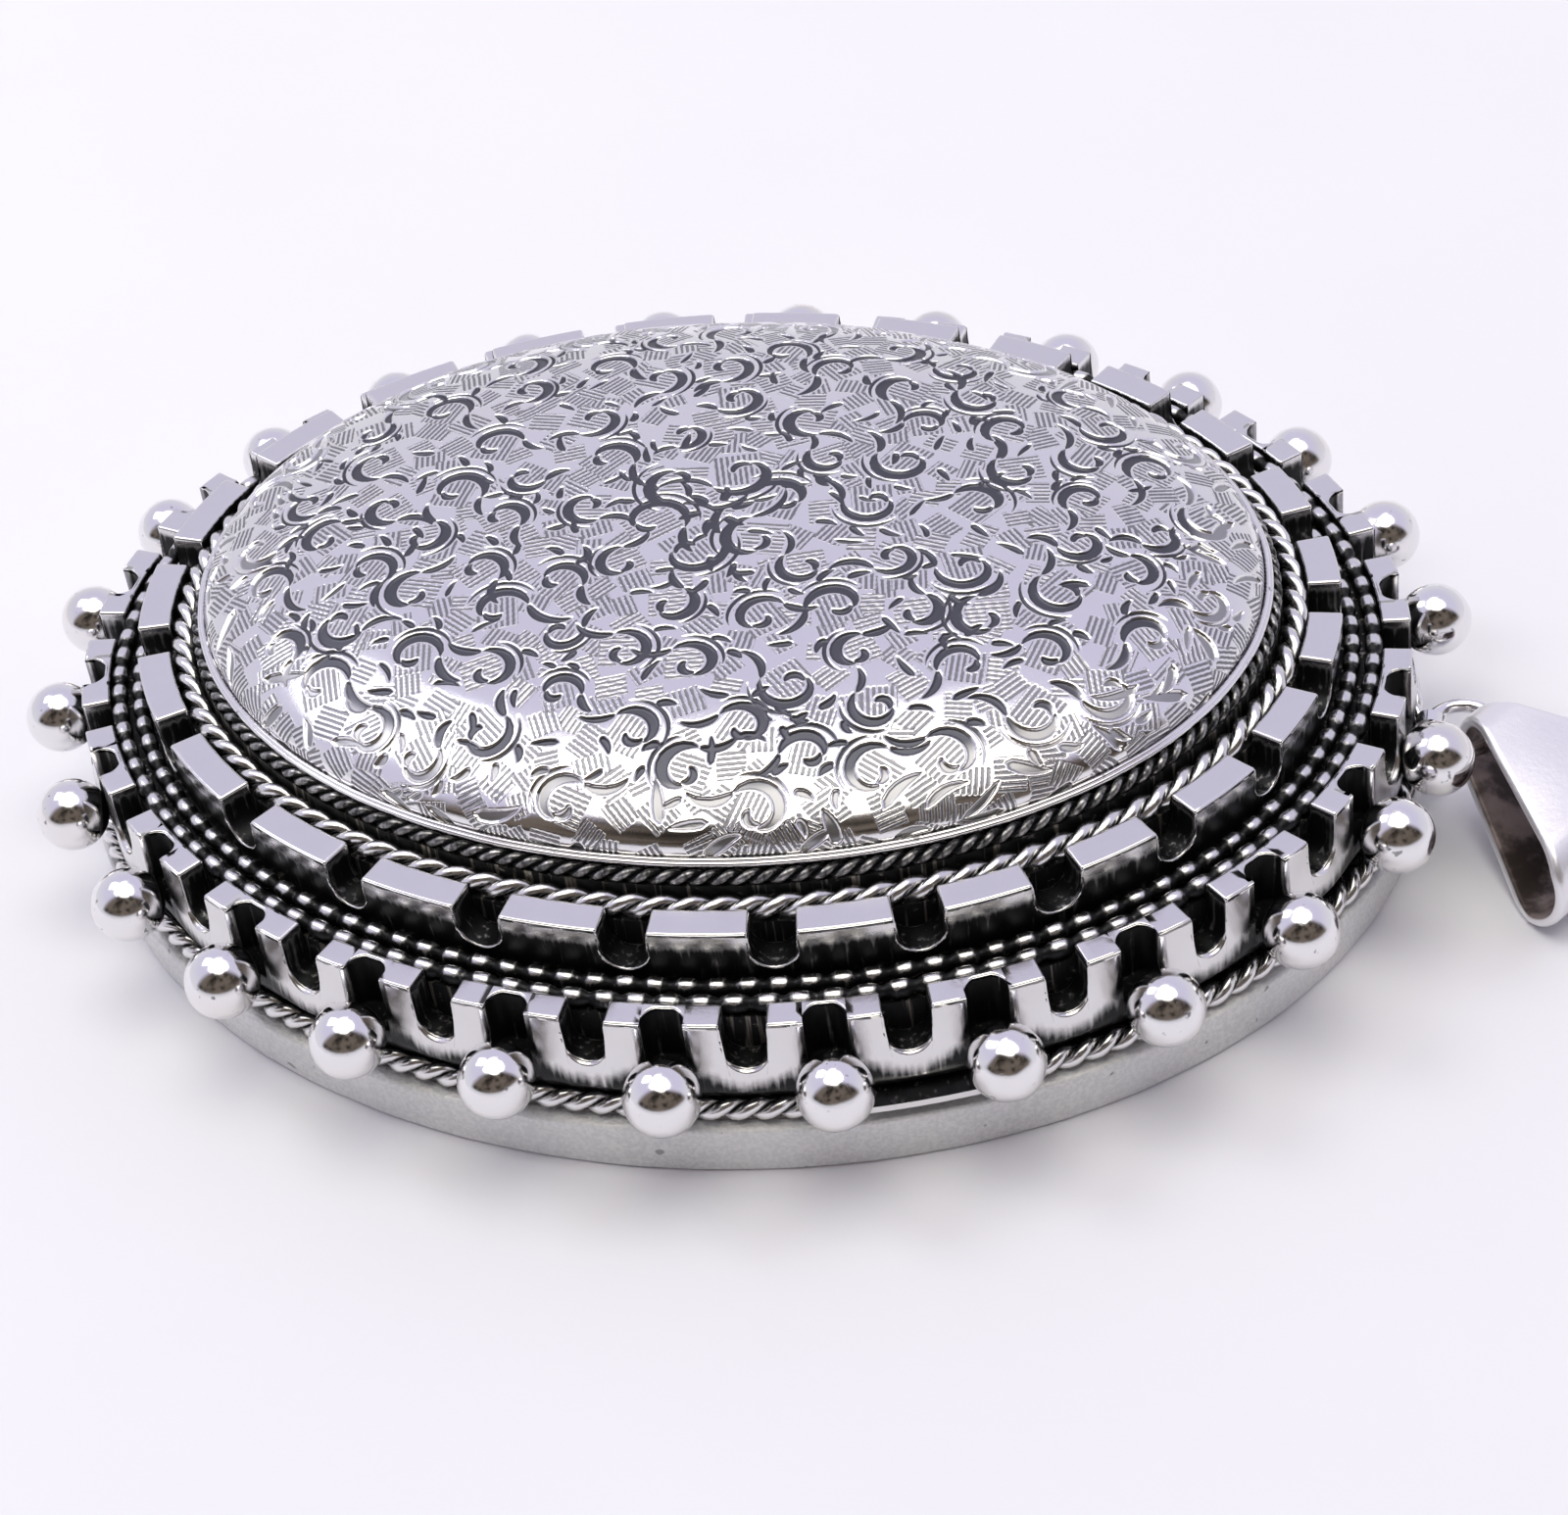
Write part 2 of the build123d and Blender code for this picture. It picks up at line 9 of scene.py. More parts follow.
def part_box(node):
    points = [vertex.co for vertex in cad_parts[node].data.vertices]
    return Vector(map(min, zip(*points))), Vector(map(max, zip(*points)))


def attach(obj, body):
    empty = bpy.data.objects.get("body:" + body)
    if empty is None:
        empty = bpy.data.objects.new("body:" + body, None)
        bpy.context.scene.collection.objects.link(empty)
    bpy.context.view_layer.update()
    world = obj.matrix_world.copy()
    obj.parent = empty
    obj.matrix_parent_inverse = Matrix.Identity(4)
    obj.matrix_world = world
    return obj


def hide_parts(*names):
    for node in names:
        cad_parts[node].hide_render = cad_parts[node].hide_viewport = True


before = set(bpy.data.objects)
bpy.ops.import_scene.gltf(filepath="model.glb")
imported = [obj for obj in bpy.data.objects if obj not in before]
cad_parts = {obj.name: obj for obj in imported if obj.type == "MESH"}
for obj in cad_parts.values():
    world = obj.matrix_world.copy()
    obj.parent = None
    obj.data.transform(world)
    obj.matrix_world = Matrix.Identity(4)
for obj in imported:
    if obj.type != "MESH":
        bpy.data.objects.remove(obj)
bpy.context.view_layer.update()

# Lengths are written in millimetres and turned into metres by MM.
MM = 0.001

# The line of ball centres, which every oval of the box is set in from, and its two rows.
BALL_LINE = (23.65, 19.5)
BALL_COUNT = 26
BALL_TURN = 0.85
INNER_NOTCH_COUNT = 25
INNER_NOTCH_TURN = 0.37
INNER_NOTCH_DRIFT = -0.42
RANDOM_SEED = 11

# The view: heading and height of the eye, tilt of the picture, distance and lens.
VIEW_HEADING = 0.293
VIEW_HEIGHT = 0.724
VIEW_ROLL = -0.133
VIEW_DISTANCE = 119.6
VIEW_TARGET = (2.4, -4.1, 4.15)
VIEW_LENS = 83.3
SENSOR_WIDTH = 36.0


# --- Shader graph -----------------------------------------------------------------------------

class Value:
    """A number or colour carried by a socket; an expression on it adds the Math nodes."""

    def __init__(self, graph, socket):
        self.graph = graph
        self.socket = socket

    def _math(self, operation, *values, clamp=False):
        settings = {"operation": operation, "use_clamp": clamp}
        return self.graph.node("ShaderNodeMath", settings, dict(enumerate(values)))

    def __add__(self, other):
        return self._math("ADD", self, other)

    def __radd__(self, other):
        return self._math("ADD", other, self)

    def __sub__(self, other):
        return self._math("SUBTRACT", self, other)

    def __rsub__(self, other):
        return self._math("SUBTRACT", other, self)

    def __mul__(self, other):
        return self._math("MULTIPLY", self, other)

    def __rmul__(self, other):
        return self._math("MULTIPLY", other, self)

    def clamped(self):
        """The same value, kept between 0 and 1."""
        return self._math("ADD", self, 0.0, clamp=True)

    def wave(self):
        return self._math("SINE", self)

    def step_between(self, low, high):
        """Rises smoothly from 0 at the low value to 1 at the high one."""
        settings = {"interpolation_type": "SMOOTHSTEP"}
        sockets = {"Value": self, "From Min": low, "From Max": high}
        return self.graph.node("ShaderNodeMapRange", settings, sockets)


class Graph:
    """The node tree of one material or of the world."""

    def __init__(self, tree):
        self.tree = tree
        tree.nodes.clear()

    def node(self, kind, settings=None, inputs=None, output=0):
        """Adds a node: settings first, then the values or links of its sockets."""
        node = self.tree.nodes.new(kind)
        for name, value in (settings or {}).items():
            setattr(node, name, value)
        for name, value in (inputs or {}).items():
            if isinstance(value, Value):
                self.tree.links.new(value.socket, node.inputs[name])
            else:
                node.inputs[name].default_value = value
        return Value(self, node.outputs[output]) if len(node.outputs) else node

    def place(self):
        """The point's own coordinates on its piece, in metres."""
        return self.node("ShaderNodeTexCoord", output="Object")

    def stretched(self, place, factors):
        """The place multiplied along each axis, which draws out a noise laid on it."""
        return self.node("ShaderNodeVectorMath", {"operation": "MULTIPLY"}, {0: place, 1: factors})

    def along(self, direction, axis):
        """How far a direction points along an axis, from -1 to 1."""
        settings = {"operation": "DOT_PRODUCT"}
        return self.node("ShaderNodeVectorMath", settings, {0: direction, 1: axis}, output="Value")

    def noise(self, place, scale, detail=4.0, roughness=0.5):
        sockets = {"Vector": place, "Scale": scale, "Detail": detail, "Roughness": roughness}
        return self.node("ShaderNodeTexNoise", {}, sockets, output="Fac")

    def filed(self, place):
        """Noise drawn out into upright file marks."""
        return self.noise(self.stretched(place, (5200.0, 5200.0, 300.0)), 1.0, 2.0)

    def painted(self, name):
        """A value stored on the points of the mesh."""
        return self.node("ShaderNodeAttribute", {"attribute_name": name}, output="Fac")

    def blend(self, amount, first, second):
        sockets = {0: amount, 6: first, 7: second}
        return self.node("ShaderNodeMix", {"data_type": "RGBA"}, sockets, output=2)

    def bump(self, height, strength, distance):
        sockets = {"Height": height, "Strength": strength, "Distance": distance}
        return self.node("ShaderNodeBump", {}, sockets, output="Normal")


def silver_material(name, build):
    """A new material whose principled sockets are filled by the given function."""
    material = bpy.data.materials.new(name)
    material.use_nodes = True
    graph = Graph(material.node_tree)
    shader = graph.node("ShaderNodeBsdfPrincipled", {}, build(graph), output="BSDF")
    graph.node("ShaderNodeOutputMaterial", {}, {"Surface": shader})
    return material


BRIGHT = (0.84, 0.83, 0.83, 1.0)
WORN = (0.76, 0.75, 0.75, 1.0)
WARM = (0.80, 0.74, 0.64, 1.0)
BLACKENED = (0.012, 0.012, 0.013, 1.0)
# SLATE is painted shade: the dark seen in the dome's cuts.
SLATE = (0.045, 0.047, 0.066, 1.0)
SATIN = (0.80, 0.80, 0.79, 1.0)
SATIN_DULL = (0.70, 0.70, 0.70, 1.0)
SATIN_CLEAN = (0.88, 0.88, 0.90, 1.0)
PIT = (0.2, 0.19, 0.18, 1.0)
BAIL_SILVER = (0.86, 0.85, 0.87, 1.0)
STAIN = (0.05, 0.035, 0.03, 1.0)
STAIN_THIN = (0.30, 0.24, 0.23, 1.0)
TABLE = (0.85, 0.85, 0.90, 1.0)
TABLE_FLECK = (0.89, 0.89, 0.93, 1.0)
WALL_LOW = (0.78, 0.77, 0.84, 1.0)
WALL_HIGH = (0.68, 0.65, 0.84, 1.0)
OVERHEAD = (3.1, 3.02, 2.8, 1.0)
ROOM_DARK = (0.02, 0.016, 0.013, 1.0)
ROOM_BROWN = (0.16, 0.13, 0.11, 1.0)


def polished_silver(graph):
    """Hand-polished silver: a mirror with faint swirls, small pits and warm tarnish in patches."""
    place = graph.place()
    recess = graph.painted("recess")
    patches = graph.noise(place, 350.0, 3.0)
    pits = graph.noise(place, 3200.0, 2.0).step_between(0.68, 0.76)
    swirls = graph.noise(place, 6500.0, 6.0, 0.7)
    dark = (recess.step_between(0.35, 0.8) + 0.6 * pits).clamped()
    tarnish = patches.step_between(0.55, 0.75) * 0.35
    colour = graph.blend(dark, graph.blend(tarnish, BRIGHT, WARM), BLACKENED)
    return {
        "Base Color": colour,
        "Metallic": 1.0,
        "Roughness": 0.07 + 0.10 * patches + 0.35 * dark,
        "Normal": graph.bump(swirls - 0.8 * pits, 0.10, 0.00002),
    }


def oxidised_silver(graph):
    """Silver blackened in its recesses and rubbed bright on its tops and edges; down the gallery faces its
    dark is partly painted shade.
    """
    place = graph.place()
    recess = graph.painted("recess")
    breakup = graph.noise(place, 1400.0, 5.0, 0.65)
    filing = graph.filed(place)
    # How dark the metal is: its blackening, and on the gallery faces partly painted shade.
    blackening_and_painted_shade = recess + 0.5 * (breakup - 0.5) + 1.5 * (filing - 0.5) * recess
    dark = blackening_and_painted_shade.step_between(0.15, 0.85)
    colour = graph.blend(dark, WORN, BLACKENED)
    return {
        "Base Color": colour,
        "Metallic": 1.0 - 0.3 * dark,
        "Roughness": 0.16 + 0.12 * breakup + 0.2 * dark,
        "Normal": graph.bump(breakup + 1.8 * filing * recess, 0.3, 0.00003),
    }


def blackened_silver(graph):
    """The plain sheet between the galleries: blackened all over, with faint bright rubs."""
    place = graph.place()
    rubs = graph.noise(place, 2400.0, 5.0, 0.7).step_between(0.60, 0.74)
    filing = graph.filed(place)
    streaks = filing.step_between(0.56, 0.70)
    return {
        "Base Color": graph.blend((0.4 * rubs + 0.3 * streaks).clamped(), BLACKENED, WARM),
        "Metallic": 0.8,
        "Roughness": 0.5 - 0.2 * streaks,
        "Normal": graph.bump(filing, 0.5, 0.00004),
    }


def satin_silver(graph):
    """The plain case: satin silver with fine scuffs, pits and drawn lines along the band."""
    place = graph.place()
    cloud = graph.noise(place, 260.0, 4.0)
    drawn = graph.noise(graph.stretched(place, (220.0, 220.0, 9000.0)), 1.0, 3.0)
    scuffs = graph.noise(place, 4200.0, 8.0, 0.75)
    pits = graph.noise(place, 1900.0, 1.0).step_between(0.74, 0.79)
    speckle = graph.noise(place, 7000.0, 2.0).step_between(0.35, 0.65)
    grey = graph.blend(speckle, SATIN_DULL, SATIN)
    colour = graph.blend(cloud.step_between(0.35, 0.75) * 0.4, grey, SATIN_CLEAN)
    return {
        "Base Color": graph.blend(pits * 0.7, colour, PIT),
        "Metallic": 0.4,
        "Roughness": 0.44 + 0.12 * cloud + 0.10 * scuffs,
        "Normal": graph.bump(scuffs + 0.6 * drawn + 0.5 * speckle - 1.5 * pits, 0.6, 0.00004),
    }


def engraved_silver(graph):
    """The dome: bright silver, black in its cuts, with fine hatching between the scrolls."""
    place = graph.place()
    cut = graph.painted("cut")
    shade = graph.painted("hatch")
    lines = (graph.painted("hatch_run") * (2 * pi)).wave()
    hatch = lines.step_between(-0.45, 0.35) * shade.step_between(0.25, 0.6)
    patches = graph.noise(place, 300.0, 3.0)
    swirls = graph.noise(place, 5200.0, 5.0, 0.7)
    # The cuts are painted dark slate: painted shade, standing for the dark that their steep walls reflect.
    dark = (cut.step_between(0.12, 0.5) + 0.8 * hatch).clamped()
    polished = graph.blend(patches.step_between(0.6, 0.8) * 0.2, BRIGHT, WARM)
    return {
        "Base Color": graph.blend(dark * 0.95, polished, SLATE),
        "Metallic": 1.0 - 0.2 * dark,
        "Roughness": 0.10 + 0.06 * patches + 0.25 * dark,
        "Normal": graph.bump(0.12 * swirls - hatch, 0.6, 0.00004),
    }


def stained_silver(graph):
    """The bail: satin outside, with brown stains and dirt where a finger can't reach."""
    place = graph.place()
    recess = graph.painted("recess")
    cloud = graph.noise(place, 420.0, 5.0, 0.6)
    scuffs = graph.noise(place, 3800.0, 7.0, 0.7)
    stain = graph.blend(cloud.step_between(0.42, 0.6), STAIN, STAIN_THIN)
    hidden = recess.step_between(0.25, 0.75)
    return {
        "Base Color": graph.blend(hidden, BAIL_SILVER, stain),
        "Metallic": 0.75 - 0.3 * hidden,
        "Roughness": 0.26 + 0.1 * scuffs + 0.2 * hidden,
        "Normal": graph.bump(scuffs + cloud, 0.3, 0.00004),
    }


POLISHED = silver_material("polished_silver", polished_silver)
OXIDISED = silver_material("oxidised_silver", oxidised_silver)
BLACK_SHEET = silver_material("blackened_silver", blackened_silver)
SATIN_CASE = silver_material("satin_silver", satin_silver)
ENGRAVED = silver_material("engraved_silver", engraved_silver)
STAINED = silver_material("stained_silver", stained_silver)


# --- Mesh helpers -----------------------------------------------------------------------------

def grid_faces(rows, columns, wrap_rows=True, wrap_columns=True):
    """Four-sided faces over a grid of points numbered row by row."""
    row = np.arange(rows if wrap_rows else rows - 1)[:, None]
    column = np.arange(columns if wrap_columns else columns - 1)[None, :]
    next_row = (row + 1) % rows
    next_column = (column + 1) % columns
    corners = [row * columns + column, next_row * columns + column,
               next_row * columns + next_column, row * columns + next_column]
    return np.stack(np.broadcast_arrays(*corners), axis=-1).reshape(-1, 4)


def mesh_piece(name, points, quads, material, body, nodes=(), caps=(), paint=None):
    """A smooth mesh from points in millimetres, riding on a body and standing for CAD nodes."""
    mesh = bpy.data.meshes.new(name)
    sizes = [4] * len(quads) + [len(cap) for cap in caps]
    corners = np.concatenate([np.asarray(quads).ravel()] + [np.asarray(cap) for cap in caps])
    mesh.vertices.add(len(points))
    mesh.vertices.foreach_set("co", (np.asarray(points, float) * MM).ravel().astype(np.float32))
    mesh.loops.add(len(corners))
    mesh.loops.foreach_set("vertex_index", corners.astype(np.int32))
    mesh.polygons.add(len(sizes))
    starts = np.concatenate([[0], np.cumsum(sizes)[:-1]])
    mesh.polygons.foreach_set("loop_start", starts.astype(np.int32))
    mesh.polygons.foreach_set("use_smooth", np.ones(len(sizes), bool))
    mesh.update(calc_edges=True)
    mesh.validate()
    for label, values in (paint or {}).items():
        layer = mesh.attributes.new(label, "FLOAT", "POINT")
        layer.data.foreach_set("value", np.asarray(values, np.float32).ravel())
    mesh.materials.append(material)
    piece = bpy.data.objects.new(name, mesh)
    bpy.context.scene.collection.objects.link(piece)
    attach(piece, body)
    if nodes:
        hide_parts(*nodes)
    return piece


def smooth_step(values, low, high):
    """Rises smoothly from 0 at the low value to 1 at the high one."""
    share = np.clip((values - low) / (high - low), 0, 1)
    return share * share * (3 - 2 * share)


def half_sizes(node):
    """Half the length and half the width of a CAD node, in millimetres."""
    low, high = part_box(node)
    return (high.x - low.x) / 2 / MM, (high.y - low.y) / 2 / MM


def heights(node):
    """The bottom and top of a CAD node, in millimetres."""
    low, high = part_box(node)
    return low.z / MM, high.z / MM


class Oval:
    """An ellipse followed by its ellipse angle or by the distance run along it."""

    STEPS = 7200

    def __init__(self, half_x, half_y):
        self.half_x = half_x
        self.half_y = half_y
        self.angles = np.linspace(0, 2 * pi, self.STEPS + 1)
        x = half_x * np.cos(self.angles)
        y = half_y * np.sin(self.angles)
        self.runs = np.concatenate([[0], np.cumsum(np.hypot(np.diff(x), np.diff(y)))])
        self.length = self.runs[-1]

    def angle_at(self, run):
        """The ellipse angle at a distance along the oval, past its start too."""
        turns = np.floor_divide(run, self.length)
        return np.interp(run - turns * self.length, self.runs, self.angles) + turns * 2 * pi

    def run_at(self, angle):
        """The distance along the oval at an ellipse angle."""
        turns = np.floor_divide(angle, 2 * pi)
        return np.interp(angle - turns * 2 * pi, self.angles, self.runs) + turns * self.length

    def points(self, run, outwards, height):
        """Points beside the oval: outwards along its normal, and up."""
        angle = self.angle_at(run)
        normal_x = self.half_y * np.cos(angle)
        normal_y = self.half_x * np.sin(angle)
        size = np.hypot(normal_x, normal_y)
        x = self.half_x * np.cos(angle) + outwards * normal_x / size
        y = self.half_y * np.sin(angle) + outwards * normal_y / size
        return np.stack(np.broadcast_arrays(x, y, height), axis=-1)


def row_angles(count, turn, drift=0.0):
    """Ellipse angles of a row of points along the line of ball centres."""
    line = Oval(*BALL_LINE)
    place = np.arange(count) + turn
    place = place + drift * np.sin(2 * pi * place / count)
    return line.angle_at(place / count * line.length)


def swept_ring(name, oval, section, steps, material, body, nodes, waver):
    """A closed section of (outwards, height) points carried all round an oval."""
    run = np.arange(steps)[:, None] / steps * oval.length
    section = np.asarray(section)
    shake = waver * (np.sin(run * 0.9) + np.sin(run * 2.3 + 1.0))
    points = oval.points(run, section[None, :, 0] + shake, section[None, :, 1] + 0.5 * shake)
    paint = np.zeros(points.shape[:2])
    quads = grid_faces(steps, len(section))
    return mesh_piece(name, points.reshape(-1, 3), quads, material, body, nodes,
                      paint={"recess": paint})


def rounded_rectangle(low_out, high_out, low, high, radius, corner_steps=5):
    """A rectangle of (outwards, height) points with round corners, counter-clockwise."""
    points = []
    centres = ((high_out - radius, low + radius, -90), (high_out - radius, high - radius, 0),
               (low_out + radius, high - radius, 90), (low_out + radius, low + radius, 180))
    for out, height, start in centres:
        for step in range(corner_steps + 1):
            angle = radians(start + 90 * step / corner_steps)
            points.append((out + radius * cos(angle), height + radius * sin(angle)))
    return points


# --- Wires ------------------------------------------------------------------------------------

# A twisted wire's strands, as shares of the wire's radius, and how finely they are drawn.
STRAND_OFFSET = 0.45
STRAND_RADIUS = 0.56
STRAND_SIDES = 12
STRAND_STEPS = 15

# A beaded wire's neck and swell, as shares of its radius, and how finely it is drawn.
BEAD_NECK = 0.3
BEAD_SWELL = 0.76
BEAD_SIDES = 14
BEAD_STEPS = 10


def strand(oval, run, phase, middle, radius, closed):
    """One strand of a twisted wire: its points, and how far each is from the wire's middle."""
    offset = STRAND_OFFSET * radius
    centre = oval.points(run, offset * np.cos(phase), middle + offset * np.sin(phase))
    axis = oval.points(run, 0 * run, middle)
    if closed:
        tangent = np.roll(centre, -1, 0) - np.roll(centre, 1, 0)
    else:
        tangent = np.gradient(centre, axis=0)
    tangent /= np.linalg.norm(tangent, axis=1, keepdims=True)
    outward = (centre - axis) / offset
    across = np.cross(tangent, outward)
    turn = np.arange(STRAND_SIDES)[None, :, None] / STRAND_SIDES * 2 * pi
    spoke = np.cos(turn) * outward[:, None] + np.sin(turn) * across[:, None]
    rings = centre[:, None] + STRAND_RADIUS * radius * spoke
    away = np.linalg.norm(rings - axis[:, None], axis=2) / radius
    return rings.reshape(-1, 3), away.ravel()


def twisted_wire(name, node, body, radius, lay, spans=None, darken=0.0, sunk=0.0):
    """Two strands wound round each other along the oval of a CAD wire."""
    half_x, half_y = half_sizes(node)
    oval = Oval(half_x - radius, half_y - radius)
    low, high = heights(node)
    middle = (low + high) / 2 - sunk
    turns = round(oval.length / lay)
    closed = spans is None
    points, quads, caps, paint = [], [], [], []
    base = 0
    for start, end in spans or [(0.0, oval.length)]:
        steps = int((end - start) / (lay / STRAND_STEPS))
        run = np.linspace(start, end, steps, endpoint=not closed)
        for number in (0, 1):
            phase = 2 * pi * (run / oval.length * turns + number / 2)
            rings, away = strand(oval, run, phase, middle, radius, closed)
            points.append(rings)
            paint.append(1.1 - smooth_step(away, 0.5, 0.92) + darken)
            quads.append(grid_faces(steps, STRAND_SIDES, wrap_rows=closed) + base)
            if not closed:
                caps.append(base + np.arange(STRAND_SIDES))
                caps.append(base + (steps - 1) * STRAND_SIDES + np.arange(STRAND_SIDES)[::-1])
            base += steps * STRAND_SIDES
    return mesh_piece(name, np.concatenate(points), np.concatenate(quads), OXIDISED, body, [node],
                      caps=caps, paint={"recess": np.concatenate(paint)})


def beaded_wire(name, node, spacing):
    """A wire rolled into a row of touching beads."""
    half_x, half_y = half_sizes(node)
    low, high = heights(node)
    radius = (high - low) / 2
    oval = Oval(half_x - radius, half_y - radius)
    steps = round(oval.length / spacing) * BEAD_STEPS
    run = np.arange(steps)[:, None] / steps * oval.length
    along = (np.arange(steps)[:, None] % BEAD_STEPS + 0.5) / BEAD_STEPS * 2 - 1
    swell = BEAD_NECK + BEAD_SWELL * np.sqrt(1 - (0.97 * along) ** 2)
    turn = np.arange(BEAD_SIDES)[None, :] / BEAD_SIDES * 2 * pi
    points = oval.points(run, radius * swell * np.cos(turn), low + radius + radius * swell * np.sin(turn))
    recess = 1.0 - smooth_step(swell, 0.9, 1.06) * smooth_step(np.sin(turn), 0.35, 0.95)
    return mesh_piece(name, points.reshape(-1, 3), grid_faces(steps, BEAD_SIDES), OXIDISED, "lid", [node],
                      paint={"recess": recess})


# --- Galleries --------------------------------------------------------------------------------

class Gallery:
    """A crenellated oval wall: flat merlons with round-bottomed notches filed between them."""

    CORNER = 0.1
    EDGE = 0.065

    def __init__(self, node, wall, notch_angles, notch_width, notch_depth):
        self.node = node
        self.outer_x, self.outer_y = half_sizes(node)
        self.foot, self.top = heights(node)
        self.wall = wall
        self.oval = Oval(self.outer_x - wall / 2, self.outer_y - wall / 2)
        self.notches = np.sort(self.oval.run_at(np.asarray(notch_angles) % (2 * pi)))
        self.notch_width = notch_width
        self.notch_depth = notch_depth
        self.rng = np.random.default_rng(RANDOM_SEED)

    def wrapped(self, difference):
        """A difference between two runs, taken the shorter way round the oval."""
        half = self.oval.length / 2
        return (difference + half) % self.oval.length - half

    def notch_outline(self, width, depth, top):
        """Half the width out and back: over the corner, down the side, round the bottom and up."""
        half = width / 2
        radius = self.CORNER
        bottom = top - depth + half
        left = []
        for step in range(5):
            angle = radians(90 - 90 * step / 4)
            left.append((-half - radius + radius * cos(angle), top - radius + radius * sin(angle)))
        for share in (0.25, 0.5, 0.75):
            left.append((-half, top - radius + share * (bottom - top + radius)))
        around = []
        for step in range(13):
            angle = pi + pi * step / 12
            around.append((half * cos(angle), bottom + half * sin(angle)))
        right = [(-across, height) for across, height in reversed(left)]
        return left + around + right

    def merlon_spots(self, start, end, flutes, flute_half):
        """The runs of the columns along one merlon, and whether each is in its flute."""
        if flutes is None:
            return [(run, False) for run in np.linspace(start, end, 14)[1:-1]]
        centre = (start + end) / 2
        middle = min(flutes, key=lambda run: abs(self.wrapped(run - centre)))
        middle += self.oval.length * round((centre - middle) / self.oval.length)
        before = [(run, False) for run in np.linspace(start, middle - flute_half, 5)[1:]]
        inside = [(middle + flute_half * sin(angle), True) for angle in np.linspace(-pi / 2, pi / 2, 15)]
        behind = [(run, False) for run in np.linspace(middle + flute_half, end, 5)[:-1]]
        return before + inside + behind

    def columns(self, flutes, flute_half):
        """Each column's run, its top height, its run at the foot, and whether it is in a flute."""
        rows = []
        count = len(self.notches)
        for number, centre in enumerate(self.notches):
            width = self.notch_width * (1 + 0.05 * self.rng.standard_normal())
            depth = self.notch_depth * (1 + 0.04 * self.rng.standard_normal())
            outline = self.notch_outline(width, depth, self.top)
            first = outline[0][0]
            last = outline[-1][0]
            for place, (across, height) in enumerate(outline):
                foot = centre + first + (last - first) * place / (len(outline) - 1)
                rows.append((centre + across, height, foot, False))
            after = self.notches[(number + 1) % count] + (self.oval.length if number == count - 1 else 0)
            for run, in_flute in self.merlon_spots(centre + last, after + first, flutes, flute_half):
                rows.append((run, self.top, run, in_flute))
        runs, tops, feet, fluted = np.array(rows).T
        return runs, tops, feet, fluted > 0.5

    def inward(self, runs, tops):
        """The way into the metal from each column's top: its share along the run, and up."""
        along = self.wrapped(np.roll(runs, -1) - np.roll(runs, 1))
        up = np.roll(tops, -1) - np.roll(tops, 1)
        size = np.maximum(np.hypot(along, up), 1e-9)
        return up / size, -along / size

    def flute_depth(self, runs, fluted, flutes, radius, setback):
        """How far the round flutes cut back the face at each column."""
        if flutes is None:
            return np.zeros_like(runs)
        off = self.wrapped(runs[:, None] - np.asarray(flutes)[None, :])
        nearest = np.abs(off).min(axis=1)
        depth = setback + np.sqrt(np.maximum(radius ** 2 - nearest ** 2, 0))
        return np.where(fluted, np.minimum(depth, self.wall - 3 * self.EDGE), 0)

    def build(self, name, slot, levels, face_shape, paint_face, flutes=None, flute_radius=0.0,
              flute_setback=0.0, flute_foot=0.0):
        """The wall as rings of points: up its back, over its rounded top and down its shaped face."""
        flute_half = sqrt(flute_radius ** 2 - flute_setback ** 2)
        runs, tops, feet, fluted = self.columns(flutes, flute_half)
        inward_run, inward_up = self.inward(runs, tops)
        depth = self.flute_depth(runs, fluted, flutes, flute_radius, flute_setback)
        in_notch = smooth_step(self.top - tops, 0.05, 0.5)
        flute_dark = 0.25 * fluted
        edge = self.EDGE
        back = -self.wall / 2
        front = self.wall / 2 - depth
        rings, recesses = [], []

        def add(run, height, out, recess):
            rings.append(self.oval.points(run, out, height))
            recesses.append(recess * np.ones_like(run))

        for share in levels[::-1]:
            run = runs * (1 - share) + feet * share
            height = tops * (1 - share) + self.foot * share
            add(run, height, back, 1.0)
        # Each ring over the top: how far it is bevelled, how far out it lies and how dark it is.
        over_the_top = (
            (1.0, back, 0.9),
            (0.3, back + 0.3 * edge, 0.45),
            (0.0, back + edge, 0.95 * in_notch),
            (0.0, back + 1.6 * edge, 0.95 * in_notch),
            (0.0, -depth / 2, 0.9 * in_notch),
            (0.0, front - 1.6 * edge, np.maximum(0.85 * in_notch, flute_dark)),
            (0.0, front - edge, np.maximum(0.75 * in_notch, flute_dark)),
            (0.3, front - 0.3 * edge, 0.3 * flute_dark),
            (1.0, front, 0.1 + 1.6 * flute_dark),
        )
        for bevel, out, recess in over_the_top:
            add(runs + inward_run * edge * bevel, tops + inward_up * edge * bevel, out, recess)
        for share in levels:
            run = runs * (1 - share) + feet * share
            height = tops * (1 - share) + self.foot * share
            sunk = np.where(height > flute_foot, depth, 0)
            recess = np.where(sunk > 0, 1.0, paint_face(run, height))
            add(run, height, self.wall / 2 - sunk + face_shape(run, height), recess)
        points = np.stack(rings, 1)
        quads = grid_faces(len(runs), len(rings))
        return mesh_piece(name, points.reshape(-1, 3), quads, OXIDISED, "lid", [self.node],
                          paint={"recess": np.stack(recesses, 1)})


